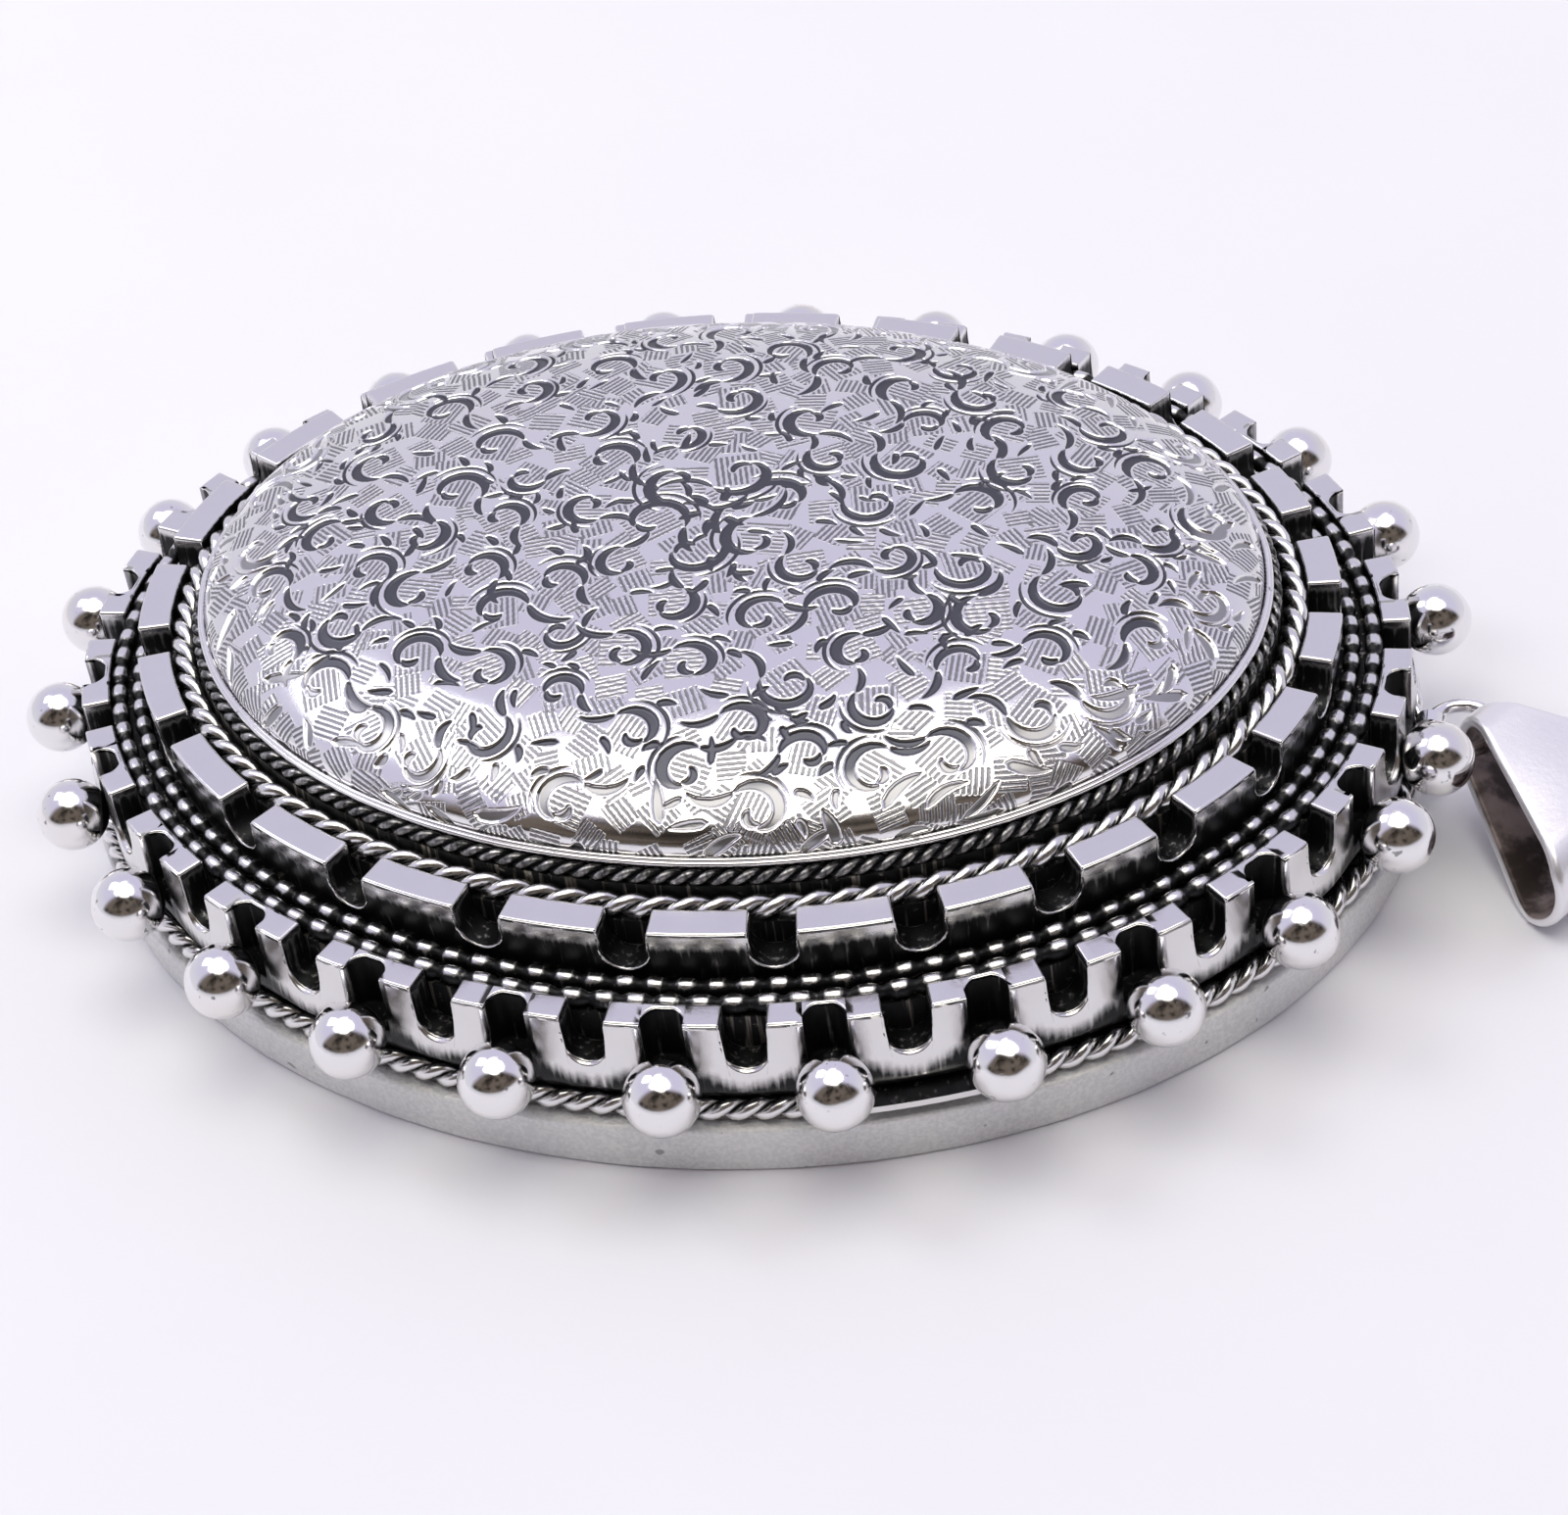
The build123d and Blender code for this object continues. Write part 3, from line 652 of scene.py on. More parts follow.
def outer_gallery():
    """The outer wall, with a flute above each ball and swelling lobes below each notch."""
    notches = row_angles(BALL_COUNT, BALL_TURN - 0.5)
    wall = Gallery("outer_gallery", wall=0.95, notch_angles=notches, notch_width=1.36, notch_depth=1.85)
    pitch = wall.oval.length / BALL_COUNT
    flutes = wall.oval.run_at(row_angles(BALL_COUNT, BALL_TURN) % (2 * pi))

    def nearness(run):
        """1 in the middle of a notch, falling to 0 half way to the next."""
        nearest = np.abs(wall.wrapped(run[:, None] - wall.notches[None, :])).min(axis=1)
        return np.cos(np.clip(nearest / pitch, 0, 0.5) * pi) ** 2

    lobe_bulge = 0.18
    foot_recess = 0.25
    # Each pair is the heights between which something comes in or fades out.
    lobe_start = (2.75, 3.5)
    lobe_end = (3.7, 5.2)
    foot_end = (2.7, 3.4)

    def lobes(run, height):
        """How far the face stands out: a lobe under each notch, above a foot that is set back."""
        swell = smooth_step(height, *lobe_start) * (1 - smooth_step(height, *lobe_end))
        return lobe_bulge * nearness(run) * swell - foot_recess * (1 - smooth_step(height, *foot_end))

    def paint(run, height):
        """How dark the face is: bright above and darker towards its foot, partly its blackening and partly
        painted shade, and painted light further down on the lobes, which stand out into the light.
        """
        lit_down_to = 4.45 - 0.75 * nearness(run)
        return 1.0 - 0.95 * smooth_step(height, lit_down_to - 0.75, lit_down_to + 0.55)

    levels = (0.015, 0.06, 0.12, 0.2, 0.28, 0.36, 0.44, 0.52, 0.58, 0.615, 0.65, 0.7, 0.76, 0.82, 0.88,
              0.94, 1.0)
    return wall.build("outer_gallery_wall", "oxidised_silver", levels, lobes, paint,
                      flutes=flutes, flute_radius=0.68, flute_setback=0.15, flute_foot=3.98)


def inner_gallery():
    """The inner wall, black below a bright upper edge."""
    notches = row_angles(INNER_NOTCH_COUNT, INNER_NOTCH_TURN, INNER_NOTCH_DRIFT)
    wall = Gallery("inner_gallery", wall=1.1, notch_angles=notches, notch_width=1.45, notch_depth=1.5)

    def cove(run, height):
        """How far the face is hollowed towards its foot, as a negative distance."""
        return -0.14 * (1 - smooth_step(height, 5.5, 7.2))

    def paint(run, height):
        """How dark the face is: black below, partly its blackening and partly painted shade, and bright
        along its top.
        """
        return 1.0 - smooth_step(height, 6.7, 7.45)

    levels = (0.02, 0.08, 0.16, 0.25, 0.35, 0.5, 0.65, 0.8, 1.0)
    return wall.build("inner_gallery_wall", "oxidised_silver", levels, cove, paint)


# --- Balls ------------------------------------------------------------------------------------

# How much a cast ball is smaller and wavier than a true one, as shares of its radius.
BALL_SHRINK = 0.99
BALL_WAVE = 0.006
DENT_DEPTH = (0.005, 0.02)
DENT_EDGE = 0.9


def ball(node, rng):
    """A cast ball, a little out of round, dented, and blackened where it meets the wall."""
    low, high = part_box(node)
    centre = (low + high) / 2
    radius = (high.z - low.z) / 2
    mesh = bpy.data.meshes.new(node + "_cast")
    shape = bmesh.new()
    bmesh.ops.create_icosphere(shape, subdivisions=5, radius=1.0)
    shape.to_mesh(mesh)
    shape.free()
    points = np.zeros(len(mesh.vertices) * 3, np.float32)
    mesh.vertices.foreach_get("co", points)
    points = points.reshape(-1, 3).astype(float)
    rough = 1 + BALL_WAVE * np.sin(points @ rng.normal(0, 3.0, 3) + rng.uniform(0, 6))
    for _ in range(rng.integers(1, 5)):
        aim = rng.normal(0, 1, 3)
        aim /= np.linalg.norm(aim)
        near = np.clip((points @ aim - DENT_EDGE) / (1 - DENT_EDGE), 0, 1)
        rough -= rng.uniform(*DENT_DEPTH) * near ** 2
    inward = -np.array([centre.x, centre.y]) / np.hypot(centre.x, centre.y)
    back = points[:, 0] * inward[0] + points[:, 1] * inward[1]
    recess = smooth_step(back - 0.25 * points[:, 2], 0.45, 0.95)
    placed = np.array(centre) + points * rough[:, None] * radius * BALL_SHRINK
    mesh.vertices.foreach_set("co", placed.ravel().astype(np.float32))
    layer = mesh.attributes.new("recess", "FLOAT", "POINT")
    layer.data.foreach_set("value", recess.astype(np.float32))
    mesh.polygons.foreach_set("use_smooth", np.ones(len(mesh.polygons), bool))
    mesh.materials.append(POLISHED)
    piece = bpy.data.objects.new(node + "_cast", mesh)
    bpy.context.scene.collection.objects.link(piece)
    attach(piece, "lid")
    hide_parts(node)
    return piece


# --- Dome -------------------------------------------------------------------------------------

# How finely the dome is drawn outside, every how many points it is drawn inside, and its metal.
DOME_COLUMNS = 960
DOME_ROWS = 760
DOME_INSIDE_STEP = 8
DOME_THICKNESS = 0.5


class CutPlan:
    """The dome's skin laid flat, on which the engraver's cuts are drawn, in millimetres."""

    CELL = 0.03

    def __init__(self, half_x, half_y):
        self.half_x = half_x
        self.half_y = half_y
        self.shape = (int(2 * half_y / self.CELL) + 1, int(2 * half_x / self.CELL) + 1)
        self.depth = np.zeros(self.shape, np.float32)
        self.hatch = np.zeros(self.shape, np.float32)
        self.hatch_run = np.zeros(self.shape, np.float32)

    def window(self, low, high):
        """The plan's cells between two corners, and the x and y of their middles."""
        corner = (self.half_x, self.half_y)
        first = np.maximum(np.floor((np.asarray(low) + corner) / self.CELL).astype(int), 0)
        last = np.ceil((np.asarray(high) + corner) / self.CELL).astype(int)
        columns = slice(first[0], min(last[0], self.shape[1]))
        rows = slice(first[1], min(last[1], self.shape[0]))
        x = np.arange(columns.start, max(columns.stop, columns.start)) * self.CELL - self.half_x
        y = np.arange(rows.start, max(rows.stop, rows.start)) * self.CELL - self.half_y
        return (rows, columns), x[None, :], y[:, None]

    def cut(self, line, widths, depth=1.0):
        """A flat-bottomed cut that swells and tapers along a line of points."""
        line = np.asarray(line)
        reach = max(widths) / 2 + 2 * self.CELL
        area, x, y = self.window(line.min(0) - reach, line.max(0) + reach)
        if x.size == 0 or y.size == 0:
            return
        found = np.zeros((y.size, x.size), np.float32)
        for start, end, wide_start, wide_end in zip(line[:-1], line[1:], widths[:-1], widths[1:]):
            step = end - start
            size = max(step @ step, 1e-9)
            share = np.clip(((x - start[0]) * step[0] + (y - start[1]) * step[1]) / size, 0, 1)
            gap = np.hypot(x - start[0] - share * step[0], y - start[1] - share * step[1])
            half = (wide_start + share * (wide_end - wide_start)) / 2
            found = np.maximum(found, np.clip((half - gap) / 0.06 + 0.35, 0, 1))
        self.depth[area] = np.maximum(self.depth[area], found * depth)

    def hatch_patch(self, centre, heading, length, width, spacing):
        """A patch of short parallel lines with soft ends, laid where nothing is hatched yet."""
        reach = (length + width) / 2
        area, x, y = self.window(centre - reach, centre + reach)
        if x.size == 0 or y.size == 0:
            return
        along = (x - centre[0]) * cos(heading) + (y - centre[1]) * sin(heading)
        across = -(x - centre[0]) * sin(heading) + (y - centre[1]) * cos(heading)
        inside = np.minimum(1 - (np.abs(along) / (length / 2)) ** 3, 1 - (np.abs(across) / (width / 2)) ** 4)
        inside = np.clip(inside * 4, 0, 1).astype(np.float32)
        free = (self.hatch[area] < 0.05) & (inside > 0)
        self.hatch[area] = np.where(free, inside, self.hatch[area])
        self.hatch_run[area] = np.where(free, across / spacing, self.hatch_run[area])

    def leave_margin(self, width):
        """Keeps the hatching off a narrow strip of plain metal beside every cut."""
        cells = round(width / self.CELL)
        busy = self.depth > 0.1
        grown = busy.copy()
        for shift_y in range(-cells, cells + 1):
            for shift_x in range(-cells, cells + 1):
                grown |= np.roll(busy, (shift_y, shift_x), (0, 1))
        self.hatch[grown] = 0.0

    def sample(self, plane, x, y):
        """The drawn value under each point, blended between the plan's cells."""
        column = np.clip((x + self.half_x) / self.CELL, 0, self.shape[1] - 1.001)
        row = np.clip((y + self.half_y) / self.CELL, 0, self.shape[0] - 1.001)
        left = column.astype(int)
        below = row.astype(int)
        right_share = column - left
        up_share = row - below
        lower = plane[below, left] * (1 - right_share) + plane[below, left + 1] * right_share
        upper = plane[below + 1, left] * (1 - right_share) + plane[below + 1, left + 1] * right_share
        return lower * (1 - up_share) + upper * up_share

    def nearest(self, plane, x, y):
        """The drawn value of the cell nearest to each point."""
        column = np.clip(np.rint((x + self.half_x) / self.CELL), 0, self.shape[1] - 1).astype(int)
        row = np.clip(np.rint((y + self.half_y) / self.CELL), 0, self.shape[0] - 1).astype(int)
        return plane[row, column]


def scroll_line(centre, start, sweep, radius, curl, points=14):
    """A C-scroll: an arc whose radius closes in as it runs."""
    share = np.linspace(0, 1, points)
    angle = start + sweep * share
    size = radius * (1 - curl * share ** 1.5)
    return np.stack([centre[0] + size * np.cos(angle), centre[1] + size * np.sin(angle)], 1)


def swelling(points, widest, lean=0.5):
    """The widths along a cut that is thin at its ends and widest at the given share of it."""
    share = np.linspace(0, 1, points)
    bell = np.sin(pi * share ** (np.log(0.5) / np.log(lean)))
    return widest * np.maximum(bell, 0.0) ** 0.75 + 0.01


def engrave_leaf(plan, root, heading, length, width, bend):
    """One comma-shaped stroke, thick near its root and bent to a point."""
    share = np.linspace(0, 1, 7)
    turn = heading + bend * share
    steps = np.stack([np.cos(turn), np.sin(turn)], 1) * length / 6
    line = root + np.concatenate([[(0, 0)], np.cumsum(steps, 0)[:-1]])
    plan.cut(line, swelling(7, width, 0.35))


def engrave_scroll(plan, centre, heading, size, hand, rng):
    """One leaf scroll: a thick crescent, a thin outer line, an inner curl, leaves and hatching."""
    sweep = hand * rng.uniform(2.9, 4.2)
    crescent = scroll_line(centre, heading, sweep, size, 0.45)
    plan.cut(crescent, swelling(14, rng.uniform(0.34, 0.44) * sqrt(size), 0.45))
    outer = scroll_line(centre, heading + hand * rng.uniform(0.2, 0.7), hand * rng.uniform(1.6, 2.4),
                        size * 1.36, 0.15)
    plan.cut(outer, swelling(14, 0.12, 0.5))
    tail_size = size * rng.uniform(0.9, 1.3)
    tail_centre = centre + (size + tail_size) * np.array([cos(heading), sin(heading)])
    tail = scroll_line(tail_centre, heading + pi, hand * rng.uniform(1.0, 1.7), tail_size, 0.1)
    plan.cut(tail, swelling(14, rng.uniform(0.22, 0.32), 0.4))
    eye = centre + size * 0.10 * np.array([cos(heading + sweep), sin(heading + sweep)])
    inner = scroll_line(eye, heading + sweep * 0.9, hand * rng.uniform(2.2, 3.2), size * 0.36, 0.3)
    plan.cut(inner, swelling(14, 0.26, 0.5))
    turn = heading + sweep * rng.uniform(0.35, 0.55)
    spot = centre - size * 0.12 * np.array([cos(turn), sin(turn)])
    plan.hatch_patch(spot, turn + rng.uniform(-0.5, 0.5), size * 1.5, size * 1.4, 0.19)
    for leaf in range(rng.integers(1, 4)):
        lean = heading + hand * (1.2 + 0.7 * leaf)
        root = centre + size * 1.4 * np.array([cos(lean), sin(lean)])
        engrave_leaf(plan, root, lean + hand * rng.uniform(0.3, 1.2), size * rng.uniform(0.6, 0.9),
                     rng.uniform(0.18, 0.28), hand * rng.uniform(0.4, 1.4))


def spread_spots(half_x, half_y, gap, limit, rng, taken=()):
    """Random places in the oval, none nearer to another than the gap."""
    spots = [np.asarray(spot) for spot in taken]
    kept = []
    for spot in rng.uniform((-half_x, -half_y), (half_x, half_y), (14000, 2)):
        if hypot(spot[0] / half_x, spot[1] / half_y) > limit:
            continue
        if spots and np.hypot(*(np.array(spots) - spot).T).min() < gap:
            continue
        spots.append(spot)
        kept.append(spot)
    return kept


def most_near(plan, plane, spot, reach, turns):
    """The most that is drawn on a small circle about a spot."""
    return plan.nearest(plane, spot[0] + reach * np.cos(turns), spot[1] + reach * np.sin(turns)).max()


def engraved_plan(half_x, half_y):
    """The whole pattern: scrolls set as close as they fit, growing from the middle of the dome."""
    rng = np.random.default_rng(RANDOM_SEED)
    plan = CutPlan(half_x, half_y)
    turns = np.arange(6) / 6 * 2 * pi + 0.35
    heart = [np.array([2.1 * cos(turn), 2.1 * sin(turn)]) for turn in turns]
    for number, (spot, turn) in enumerate(zip(heart, turns)):
        engrave_scroll(plan, spot, turn + 2.6, 1.15, 1 if number % 2 else -1, rng)
        engrave_leaf(plan, 0.25 * spot, turn, 0.8, 0.34, 0.5)
    for spot in spread_spots(half_x, half_y, 2.15, 0.86, rng, heart):
        outward = atan2(spot[1], spot[0])
        heading = outward + pi + rng.uniform(-1.3, 1.3)
        engrave_scroll(plan, spot, heading, rng.uniform(0.76, 1.02), rng.choice([-1, 1]), rng)
    for spot in spread_spots(half_x, half_y, 1.05, 0.965, rng):
        if most_near(plan, plan.depth, spot, 0.35, turns) < 0.1:
            wide = 1.0 + 0.6 * (hypot(spot[0] / half_x, spot[1] / half_y) > 0.84)
            engrave_leaf(plan, spot, rng.uniform(0, 2 * pi), rng.uniform(0.7, 1.1) * wide,
                         rng.uniform(0.16, 0.26) * wide, rng.uniform(-1.2, 1.2))
    for spot in spread_spots(half_x, half_y, 0.42, 0.965, rng):
        if most_near(plan, plan.hatch, spot, 0.25, turns) < 0.3:
            plan.hatch_patch(spot, rng.uniform(0, pi), rng.uniform(0.8, 1.2), rng.uniform(0.7, 1.3), 0.19)
    plan.leave_margin(0.075)
    return plan


class DomeSkin:
    """The pillow-shaped surface: upright foot, round shoulder and gently crowned top."""

    WALL_RISE = 0.75
    SHOULDER_WIDTH = 3.2
    SHOULDER_RISE = 1.9

    def __init__(self, half_x, half_y, foot, top):
        self.stretch = half_x / half_y
        shoulder_width, shoulder_rise = self.SHOULDER_WIDTH, self.SHOULDER_RISE
        spring = foot + self.WALL_RISE
        bend = spring + shoulder_rise
        shares = np.linspace(0, 1, 90)[:, None]
        wall = np.array([half_y, foot]) * (1 - shares) + np.array([half_y, spring]) * shares
        first = self.hermite((half_y, spring), (half_y - shoulder_width, bend), (0, 1), (-1, 0.28),
                             1.5 * shoulder_rise, 1.15 * shoulder_width)
        reach = half_y - shoulder_width
        second = self.hermite((reach, bend), (0, top), (-1, 0.28), (-1, 0), 0.6 * reach, 0.9 * reach)
        self.curve = np.concatenate([wall[:-1], first[:-1], second])[::-1]
        lengths = np.hypot(*np.diff(self.curve, axis=0).T)
        self.run = np.concatenate([[0], np.cumsum(lengths)])
        self.length = self.run[-1]

    @staticmethod
    def hermite(start, end, leave, arrive, pull_start, pull_end):
        """A curve between two points that leaves and arrives in given directions."""
        share = np.linspace(0, 1, 120)[:, None]
        start, end = np.array(start, float), np.array(end, float)
        leave = np.array(leave, float) / np.hypot(*leave) * pull_start
        arrive = np.array(arrive, float) / np.hypot(*arrive) * pull_end
        return ((2 * share ** 3 - 3 * share ** 2 + 1) * start + (share ** 3 - 2 * share ** 2 + share) * leave
                + (-2 * share ** 3 + 3 * share ** 2) * end + (share ** 3 - share ** 2) * arrive)

    def profile(self, run):
        """The radius and height of the skin at a distance from the crown."""
        return np.interp(run, self.run, self.curve[:, 0]), np.interp(run, self.run, self.curve[:, 1])

    def points(self, across, along):
        """Surface points and outward normals for places given in the unit disc."""
        ring = np.hypot(across, along)
        run = ring * self.length
        step = 0.02
        radius, height = self.profile(run)
        radius_after, height_after = self.profile(run + step)
        radius_before, height_before = self.profile(run - step)
        slope_r = radius_after - radius_before
        slope_z = height_after - height_before
        safe = np.maximum(ring, 1e-9)
        ux, uy = across / safe, along / safe
        points = np.stack([radius * ux * self.stretch, radius * uy, height], -1)
        normal = np.stack([-slope_z * ux / self.stretch, -slope_z * uy, slope_r], -1)
        normal /= np.maximum(np.linalg.norm(normal, axis=-1, keepdims=True), 1e-12)
        return points, normal


def square_to_disc(columns, rows):
    """A grid of places that fills the unit disc evenly, edge points on its rim."""
    u = np.linspace(-1, 1, columns)[None, :]
    v = np.linspace(-1, 1, rows)[:, None]
    return u * np.sqrt(1 - v * v / 2), v * np.sqrt(1 - u * u / 2)


def engraved_skin(skin, across, along):
    """The dome's outside with its cuts, and what is painted on it."""
    points, normals = skin.points(across, along)
    flat_x = across * skin.length * skin.stretch
    flat_y = along * skin.length
    plan = engraved_plan(skin.length * skin.stretch, skin.length)
    ring = np.hypot(across, along)
    edge = 1 - smooth_step(ring, 0.955, 0.975)
    cut = plan.sample(plan.depth, flat_x, flat_y) * edge
    hatch = plan.sample(plan.hatch, flat_x, flat_y) * edge * (1 - smooth_step(cut, 0.1, 0.3))
    hatch_run = plan.nearest(plan.hatch_run, flat_x, flat_y)
    ripple = 0.018 * np.sin(flat_x * 0.8 + 0.4) * np.sin(flat_y * 0.9) * edge
    scored = 0.02 * hatch * (0.5 + 0.5 * np.sin(2 * pi * hatch_run))
    sunk = (0.015 + 0.09 * cut + scored + ripple + 0.018) * edge
    # The cuts are painted lighter towards the shoulder, where the overhead lamp's highlight falls: a painted
    # highlight.
    lighter_in_highlight = 1 - 0.65 * smooth_step(ring, 0.70, 0.82)
    return points - normals * sunk[..., None], {"cut": cut * lighter_in_highlight, "hatch": hatch, "hatch_run": hatch_run}


def dome():
    """The engraved outside, the plain inside, and the rim that joins them."""
    half_x, half_y = half_sizes("dome")
    foot, top = heights("dome")
    skin = DomeSkin(half_x, half_y, foot, top)
    across, along = square_to_disc(DOME_COLUMNS, DOME_ROWS)
    points, paint = engraved_skin(skin, across, along)
    coarse = (slice(None, None, DOME_INSIDE_STEP), slice(None, None, DOME_INSIDE_STEP))
    inside_points, inside_normals = skin.points(across[coarse], along[coarse])
    under = inside_points - inside_normals * DOME_THICKNESS
    under[..., 2] = np.maximum(under[..., 2], foot)
    first_under = across.size
    outside = grid_faces(*across.shape, False, False)
    inside = grid_faces(*across[coarse].shape, False, False)[:, ::-1] + first_under
    caps = rim_caps(rim_order(*across.shape), rim_order(*across[coarse].shape) + first_under)
    every = np.concatenate([points.reshape(-1, 3), under.reshape(-1, 3)])
    blank = np.zeros(across[coarse].size)
    paint = {label: np.concatenate([values.ravel(), blank]) for label, values in paint.items()}
    quads = np.concatenate([outside, inside])
    return mesh_piece("engraved_dome", every, quads, ENGRAVED, "lid", ["dome"],
                      caps=caps, paint=paint)


def rim_order(rows, columns):
    """The numbers of a grid's edge points, counter-clockwise from its first corner."""
    bottom = np.arange(columns - 1)
    right = np.arange(rows - 1) * columns + columns - 1
    top = (rows - 1) * columns + np.arange(columns - 1, 0, -1)
    left = np.arange(rows - 1, 0, -1) * columns
    return np.concatenate([bottom, right, top, left])


def rim_caps(outer, inner):
    """Faces between a fine rim and a coarse one that run side by side."""
    caps = []
    ratio = len(outer) / len(inner)
    for place in range(len(inner)):
        start = round(place * ratio)
        end = round((place + 1) * ratio)
        fine = [outer[number % len(outer)] for number in range(start, end + 1)]
        caps.append(np.array([inner[place], inner[(place + 1) % len(inner)]] + fine[::-1]))
    return caps


# --- Case, rims and bezel ---------------------------------------------------------------------

def side_band():
    """The plain band round the case, its edges softened by wear."""
    half_x, half_y = half_sizes("side_band")
    low, high = heights("side_band")
    thickness = 0.6
    worn_height = 0.5
    section = []
    for out, height in rounded_rectangle(-thickness, 0.0, low, high, radius=0.14):
        worn_back = 0.12 * max(0.0, worn_height - height) / worn_height if out > -thickness / 2 else 0
        section.append((out - worn_back, height))
    oval = Oval(half_x, half_y)
    return swept_ring("worn_side_band", oval, section, 720, SATIN_CASE, "case", ["side_band"],
                      0.008)


def dome_bezel():
    """Two fine bright lines round the foot of the dome."""
    half_x, half_y = half_sizes("dome_bezel")
    low, high = heights("dome_bezel")
    oval = Oval(half_x, half_y)
    turn = np.arange(12) / 12 * 2 * pi
    radius = 0.085
    for name, out, height in (("outer", -0.09, low + 0.09), ("inner", -0.185, high - 0.09)):
        section = np.stack([out + radius * np.cos(turn), height + radius * np.sin(turn)], 1)
        swept_ring(f"dome_bezel_{name}_line", oval, section, 600, POLISHED, "lid", ["dome_bezel"],
                   0.006)


def nail_slot_span(oval):
    """Where the thumb-nail slot lies along an oval, from the lip over it."""
    low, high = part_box("nail_lip")
    centre = (low + high) / 2
    angle = atan2(centre.y / oval.half_y, centre.x / oval.half_x) % (2 * pi)
    middle = oval.run_at(np.array(angle))
    half_slot = 2.1
    return middle - half_slot, middle + half_slot


def outer_rope():
    """The twisted wire at the lid's edge, in three lengths between hinge, slot and eye."""
    half_x, half_y = half_sizes("side_band")
    radius = 0.39
    oval = Oval(half_x - radius, half_y - radius)
    hinge_low, hinge_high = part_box("hinge_pin")
    hinge_clearance = 0.35
    half_gap = (hinge_high.x - hinge_low.x) / 2 / MM + hinge_clearance
    hinge = oval.length / 4
    slot_start, slot_end = nail_slot_span(oval)
    eye = (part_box("bail_eye")[0].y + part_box("bail_eye")[1].y) / 2 / MM
    half_eye = 0.76
    spans = [(eye + half_eye, hinge - half_gap), (hinge + half_gap, slot_start),
             (slot_end, oval.length + eye - half_eye)]
    return twisted_wire("outer_rope_strands", "outer_rope_wire", "lid", radius,
                        lay=1.72, spans=spans, darken=-0.25)


# --- Bail and ring ----------------------------------------------------------------------------

def jump_ring():
    """The closed ring, its wire a little uneven."""
    low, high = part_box("jump_ring")
    centre = np.array((low + high) / 2) / MM
    wire = (high.z - low.z) / 2 / MM
    radius = (high.x - low.x) / 2 / MM - wire
    steps, around = 120, 20
    turn = np.arange(steps)[:, None] / steps * 2 * pi
    spin = np.arange(around)[None, :] / around * 2 * pi
    thick = wire * (1 - 0.03 * np.abs(np.sin(turn * 2.5)))
    reach = radius + thick * np.cos(spin)
    points = np.stack([centre[0] + reach * np.cos(turn), centre[1] + reach * np.sin(turn),
                       centre[2] + thick * np.sin(spin) * np.ones_like(turn)], -1)
    return mesh_piece("jump_ring_wire", points.reshape(-1, 3), grid_faces(steps, around), POLISHED, "ring",
                      ["jump_ring"], paint={"recess": np.zeros(steps * around)})


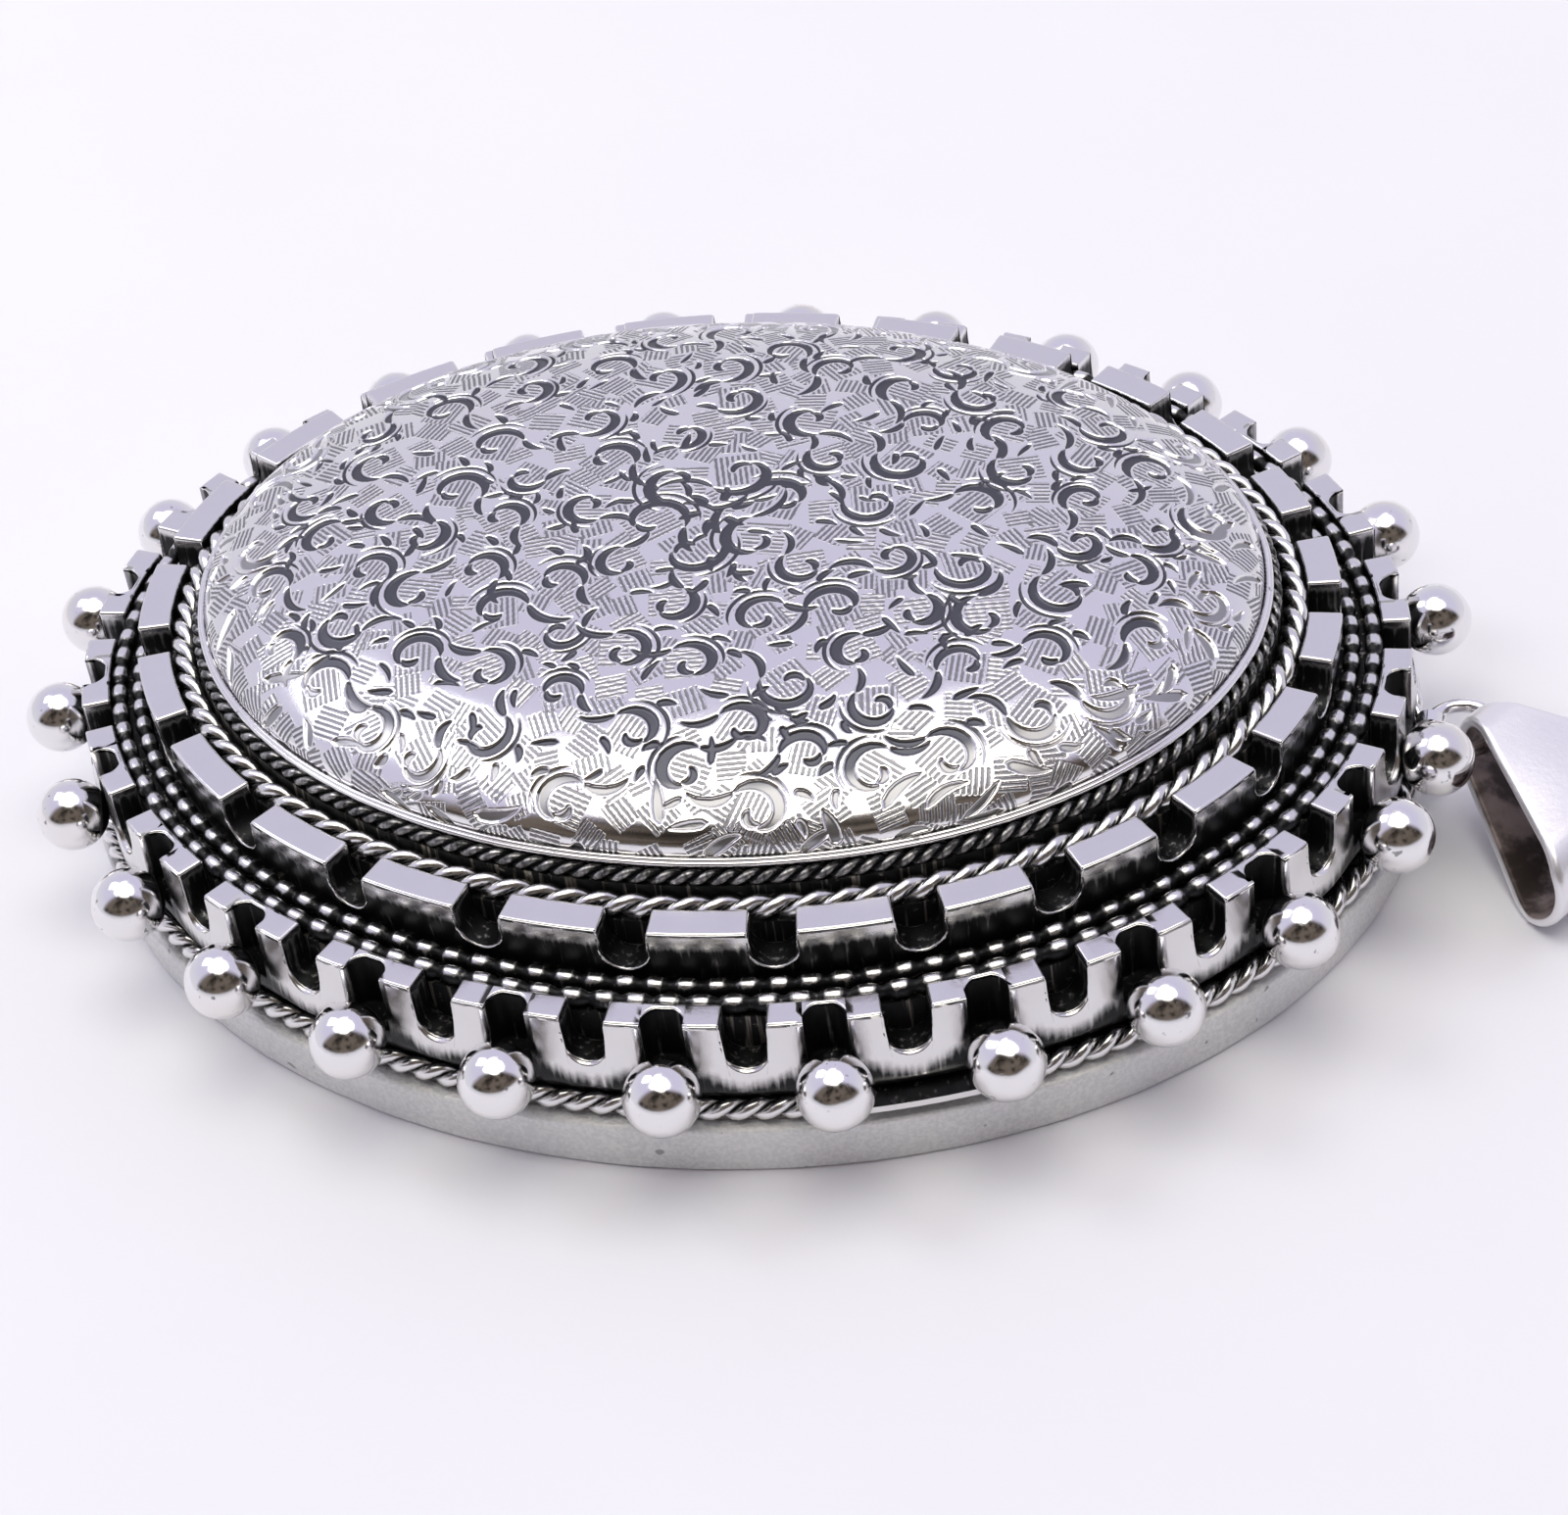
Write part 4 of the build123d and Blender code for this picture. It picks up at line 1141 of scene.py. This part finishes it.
class Bail:
    """The folded strap: a closed loop that widens from its neck to its far fold."""

    LENGTH = 7.0
    NECK_RADIUS = 1.35
    FOLD_RADIUS = 1.75
    THICKNESS = 0.4
    EDGE_ROUND = 0.18
    NECK_WIDTH = 0.9
    NECK_LENGTH = 0.2
    FLARE = radians(28.0)
    HEADING = radians(-34.0)

    def loop(self, steps):
        """The middle line of the strap's thickness, seen from the side, and its outward normals."""
        near, far = self.NECK_RADIUS, self.LENGTH - self.FOLD_RADIUS
        small, large = self.NECK_RADIUS - self.THICKNESS / 2, self.FOLD_RADIUS - self.THICKNESS / 2
        lean = pi / 2 + asin((large - small) / (far - near))
        share = np.arange(steps // 4) / (steps // 4)
        still = np.zeros_like(share)
        # Round the far fold, back along the top, round the neck and out along the bottom.
        centres = np.concatenate([far + still, far + (near - far) * share,
                                  near + still, near + (far - near) * share])
        radii = np.concatenate([large + still, large + (small - large) * share,
                                small + still, small + (large - small) * share])
        angles = np.concatenate([lean * (2 * share - 1), lean + still,
                                 lean + 2 * (pi - lean) * share, -lean + still])
        normals = np.stack([np.cos(angles), np.sin(angles)], 1)
        points = radii[:, None] * normals
        points[:, 0] += centres
        return points, normals

    def build(self):
        """The strap round its loop, tipped down to rest on the table and turned to its heading."""
        steps = 240
        middle, normal = self.loop(steps)
        flared = np.maximum(middle[:, 0] - self.NECK_LENGTH, 0)
        half_width = self.NECK_WIDTH / 2 + flared * np.tan(self.FLARE)
        half_width -= 0.25 * smooth_step(middle[:, 0], self.LENGTH - 1.0, self.LENGTH)
        section = np.array(self.section())
        ends = half_width[:, None] - self.EDGE_ROUND
        side = ends * section[None, :, 0] + self.EDGE_ROUND * section[None, :, 1]
        lift = self.THICKNESS / 2 * section[None, :, 2] * np.ones_like(side)
        upper = normal[:, 1:] > 0
        crown = 0.12 * (1 - (side / half_width[:, None]) ** 2) * smooth_step(middle[:, :1], 1.5, 4.0)
        wobble = 0.02 * np.sin(side * 1.3 + middle[:, :1] * 0.9)
        along = middle[:, :1] + normal[:, :1] * (lift - 0.02)
        up = middle[:, 1:] + normal[:, 1:] * (lift - 0.02 + (crown + wobble) * upper)
        ring_low, ring_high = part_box("jump_ring")
        ring_centre = (ring_low + ring_high) / 2 / MM
        drop = ring_centre.z - self.FOLD_RADIUS
        near, far = self.NECK_RADIUS, self.LENGTH - self.FOLD_RADIUS
        pitch = atan2(drop, sqrt((far - near) ** 2 - drop ** 2))
        x = near + (along - near) * cos(pitch) + up * sin(pitch)
        z = -(along - near) * sin(pitch) + up * cos(pitch)
        world_x = ring_centre.x + x * cos(self.HEADING) - side * sin(self.HEADING)
        world_y = ring_centre.y + x * sin(self.HEADING) + side * cos(self.HEADING)
        points = np.stack([world_x, world_y, ring_centre.z + z], -1)
        inside = smooth_step(-section[None, :, 2] * np.ones_like(side), 0.3, 0.95)
        quads = grid_faces(steps, len(section))
        return mesh_piece("bail_strap", points.reshape(-1, 3), quads, STAINED, "bail", ["bail"],
                          paint={"recess": inside})

    @staticmethod
    def section():
        """The strap's cross-section: which end each point belongs to, its roundness and its lift."""
        points = []
        for end, first in ((1, -90), (-1, 90)):
            for step in range(7):
                angle = radians(first + 180 * step / 6)
                points.append((end, cos(angle), sin(angle)))
            for share in (0.97, 0.6, 0.2, -0.2, -0.6, -0.97):
                points.append((end * share, 0.0, float(end)))
        return points


# --- CAD nodes that keep their shape ----------------------------------------------------------

def dress(nodes, material):
    """Gives CAD nodes a material and leaves their shape alone."""
    for node in nodes:
        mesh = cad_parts[node].data
        mesh.materials.clear()
        mesh.materials.append(material)


# --- Stage, light and camera ------------------------------------------------------------------

def floor():
    """A wide pale table top."""
    size = 700.0
    corners = [(-size, -size, 0), (size, -size, 0), (size, size, 0), (-size, size, 0)]
    mesh = bpy.data.meshes.new("table_top")
    mesh.from_pydata([Vector(corner) * MM for corner in corners], [], [(0, 1, 2, 3)])
    material = bpy.data.materials.new("pale_table")
    material.use_nodes = True
    graph = Graph(material.node_tree)
    fleck = graph.noise(graph.place(), 60.0, 3.0)
    sockets = {"Base Color": graph.blend(fleck, TABLE, TABLE_FLECK), "Roughness": 0.75}
    shader = graph.node("ShaderNodeBsdfPrincipled", {}, sockets, output="BSDF")
    graph.node("ShaderNodeOutputMaterial", {}, {"Surface": shader})
    mesh.materials.append(material)
    piece = bpy.data.objects.new("table_top", mesh)
    bpy.context.scene.collection.objects.link(piece)


def room_light():
    """A light overhead panel, a pale far wall, and a dark room behind the viewer."""
    world = bpy.data.worlds.new("studio")
    bpy.context.scene.world = world
    world.use_nodes = True
    graph = Graph(world.node_tree)
    direction = graph.node("ShaderNodeTexCoord", output="Generated")
    front = graph.along(direction, (sin(VIEW_HEADING), -cos(VIEW_HEADING), 0.0))
    up = graph.along(direction, (0.0, 0.0, 1.0))
    patchy = graph.noise(direction, 3.0, 3.0).step_between(0.35, 0.6)
    overhead = (up + 0.05 * patchy).step_between(0.905, 0.955)
    viewer = front.step_between(0.15, 0.4) * up.step_between(0.05, 0.2)
    wall = graph.blend(up.step_between(0.0, 0.8), WALL_LOW, WALL_HIGH)
    lit = graph.blend(overhead, wall, OVERHEAD)
    dark_room = graph.blend(patchy, ROOM_DARK, ROOM_BROWN)
    colour = graph.blend(viewer * (1 - overhead), lit, dark_room)
    background = graph.node("ShaderNodeBackground", {}, {"Color": colour, "Strength": 1.0}, output=0)
    graph.node("ShaderNodeOutputWorld", {}, {"Surface": background})


def soft_lamp(name, place, aim, size, power):
    """A square lamp at a place, turned to its aim, both in millimetres."""
    lamp = bpy.data.lights.new(name, "AREA")
    lamp.size = size * MM
    lamp.energy = power
    piece = bpy.data.objects.new(name, lamp)
    piece.location = Vector(place) * MM
    piece.rotation_euler = (Vector(aim) * MM - piece.location).to_track_quat("-Z", "Y").to_euler()
    bpy.context.scene.collection.objects.link(piece)


def camera():
    """The eye above the long side of the box, a little to the bail's side."""
    level = cos(VIEW_HEIGHT)
    back = Vector((sin(VIEW_HEADING) * level, -cos(VIEW_HEADING) * level, sin(VIEW_HEIGHT)))
    right = (-back).cross(Vector((0, 0, 1))).normalized()
    up = right.cross(-back)
    rolled_right = right * cos(VIEW_ROLL) + up * sin(VIEW_ROLL)
    rolled_up = -right * sin(VIEW_ROLL) + up * cos(VIEW_ROLL)
    place = (Vector(VIEW_TARGET) + back * VIEW_DISTANCE) * MM
    data = bpy.data.cameras.new("view")
    data.lens = VIEW_LENS
    data.sensor_width = SENSOR_WIDTH
    data.clip_start = 0.005
    piece = bpy.data.objects.new("view", data)
    turn = Matrix((rolled_right, rolled_up, back)).transposed().to_4x4()
    piece.matrix_world = Matrix.Translation(place) @ turn
    bpy.context.scene.collection.objects.link(piece)
    bpy.context.scene.camera = piece


bpy.context.scene.view_settings.view_transform = "Standard"
camera()
room_light()
soft_lamp("window", place=(-160, 40, 220), aim=(0, 0, 5), size=90, power=0.12)
floor()

dress(["lid_rim", "lower_collar", "middle_plate", "upper_collar", "upper_plate", "dome_seat"], BLACK_SHEET)
dress(["back_plate", "case_rim", "inner_bezel", "catch_bead"], SATIN_CASE)
dress(["case_knuckle_left", "case_knuckle_right", "lid_knuckle", "hinge_pin", "bail_eye", "nail_lip"],
      POLISHED)

side_band()
outer_rope()
twisted_wire("inner_rope_strands", "inner_rope_wire", "lid", radius=0.40, lay=1.9,
             darken=-0.3, sunk=0.15)
twisted_wire("fine_rope_strands", "fine_rope_wire", "lid", radius=0.25, lay=1.25,
             darken=0.5, sunk=0.1)
beaded_wire("outer_beads", "outer_beaded_wire", spacing=1.0)
beaded_wire("inner_beads", "inner_beaded_wire", spacing=0.95)
dome_bezel()
outer_gallery()
inner_gallery()
ball_rng = np.random.default_rng(RANDOM_SEED)
for number in range(BALL_COUNT):
    ball(f"ball_{number + 1:02d}", ball_rng)
dome()
jump_ring()
Bail().build()
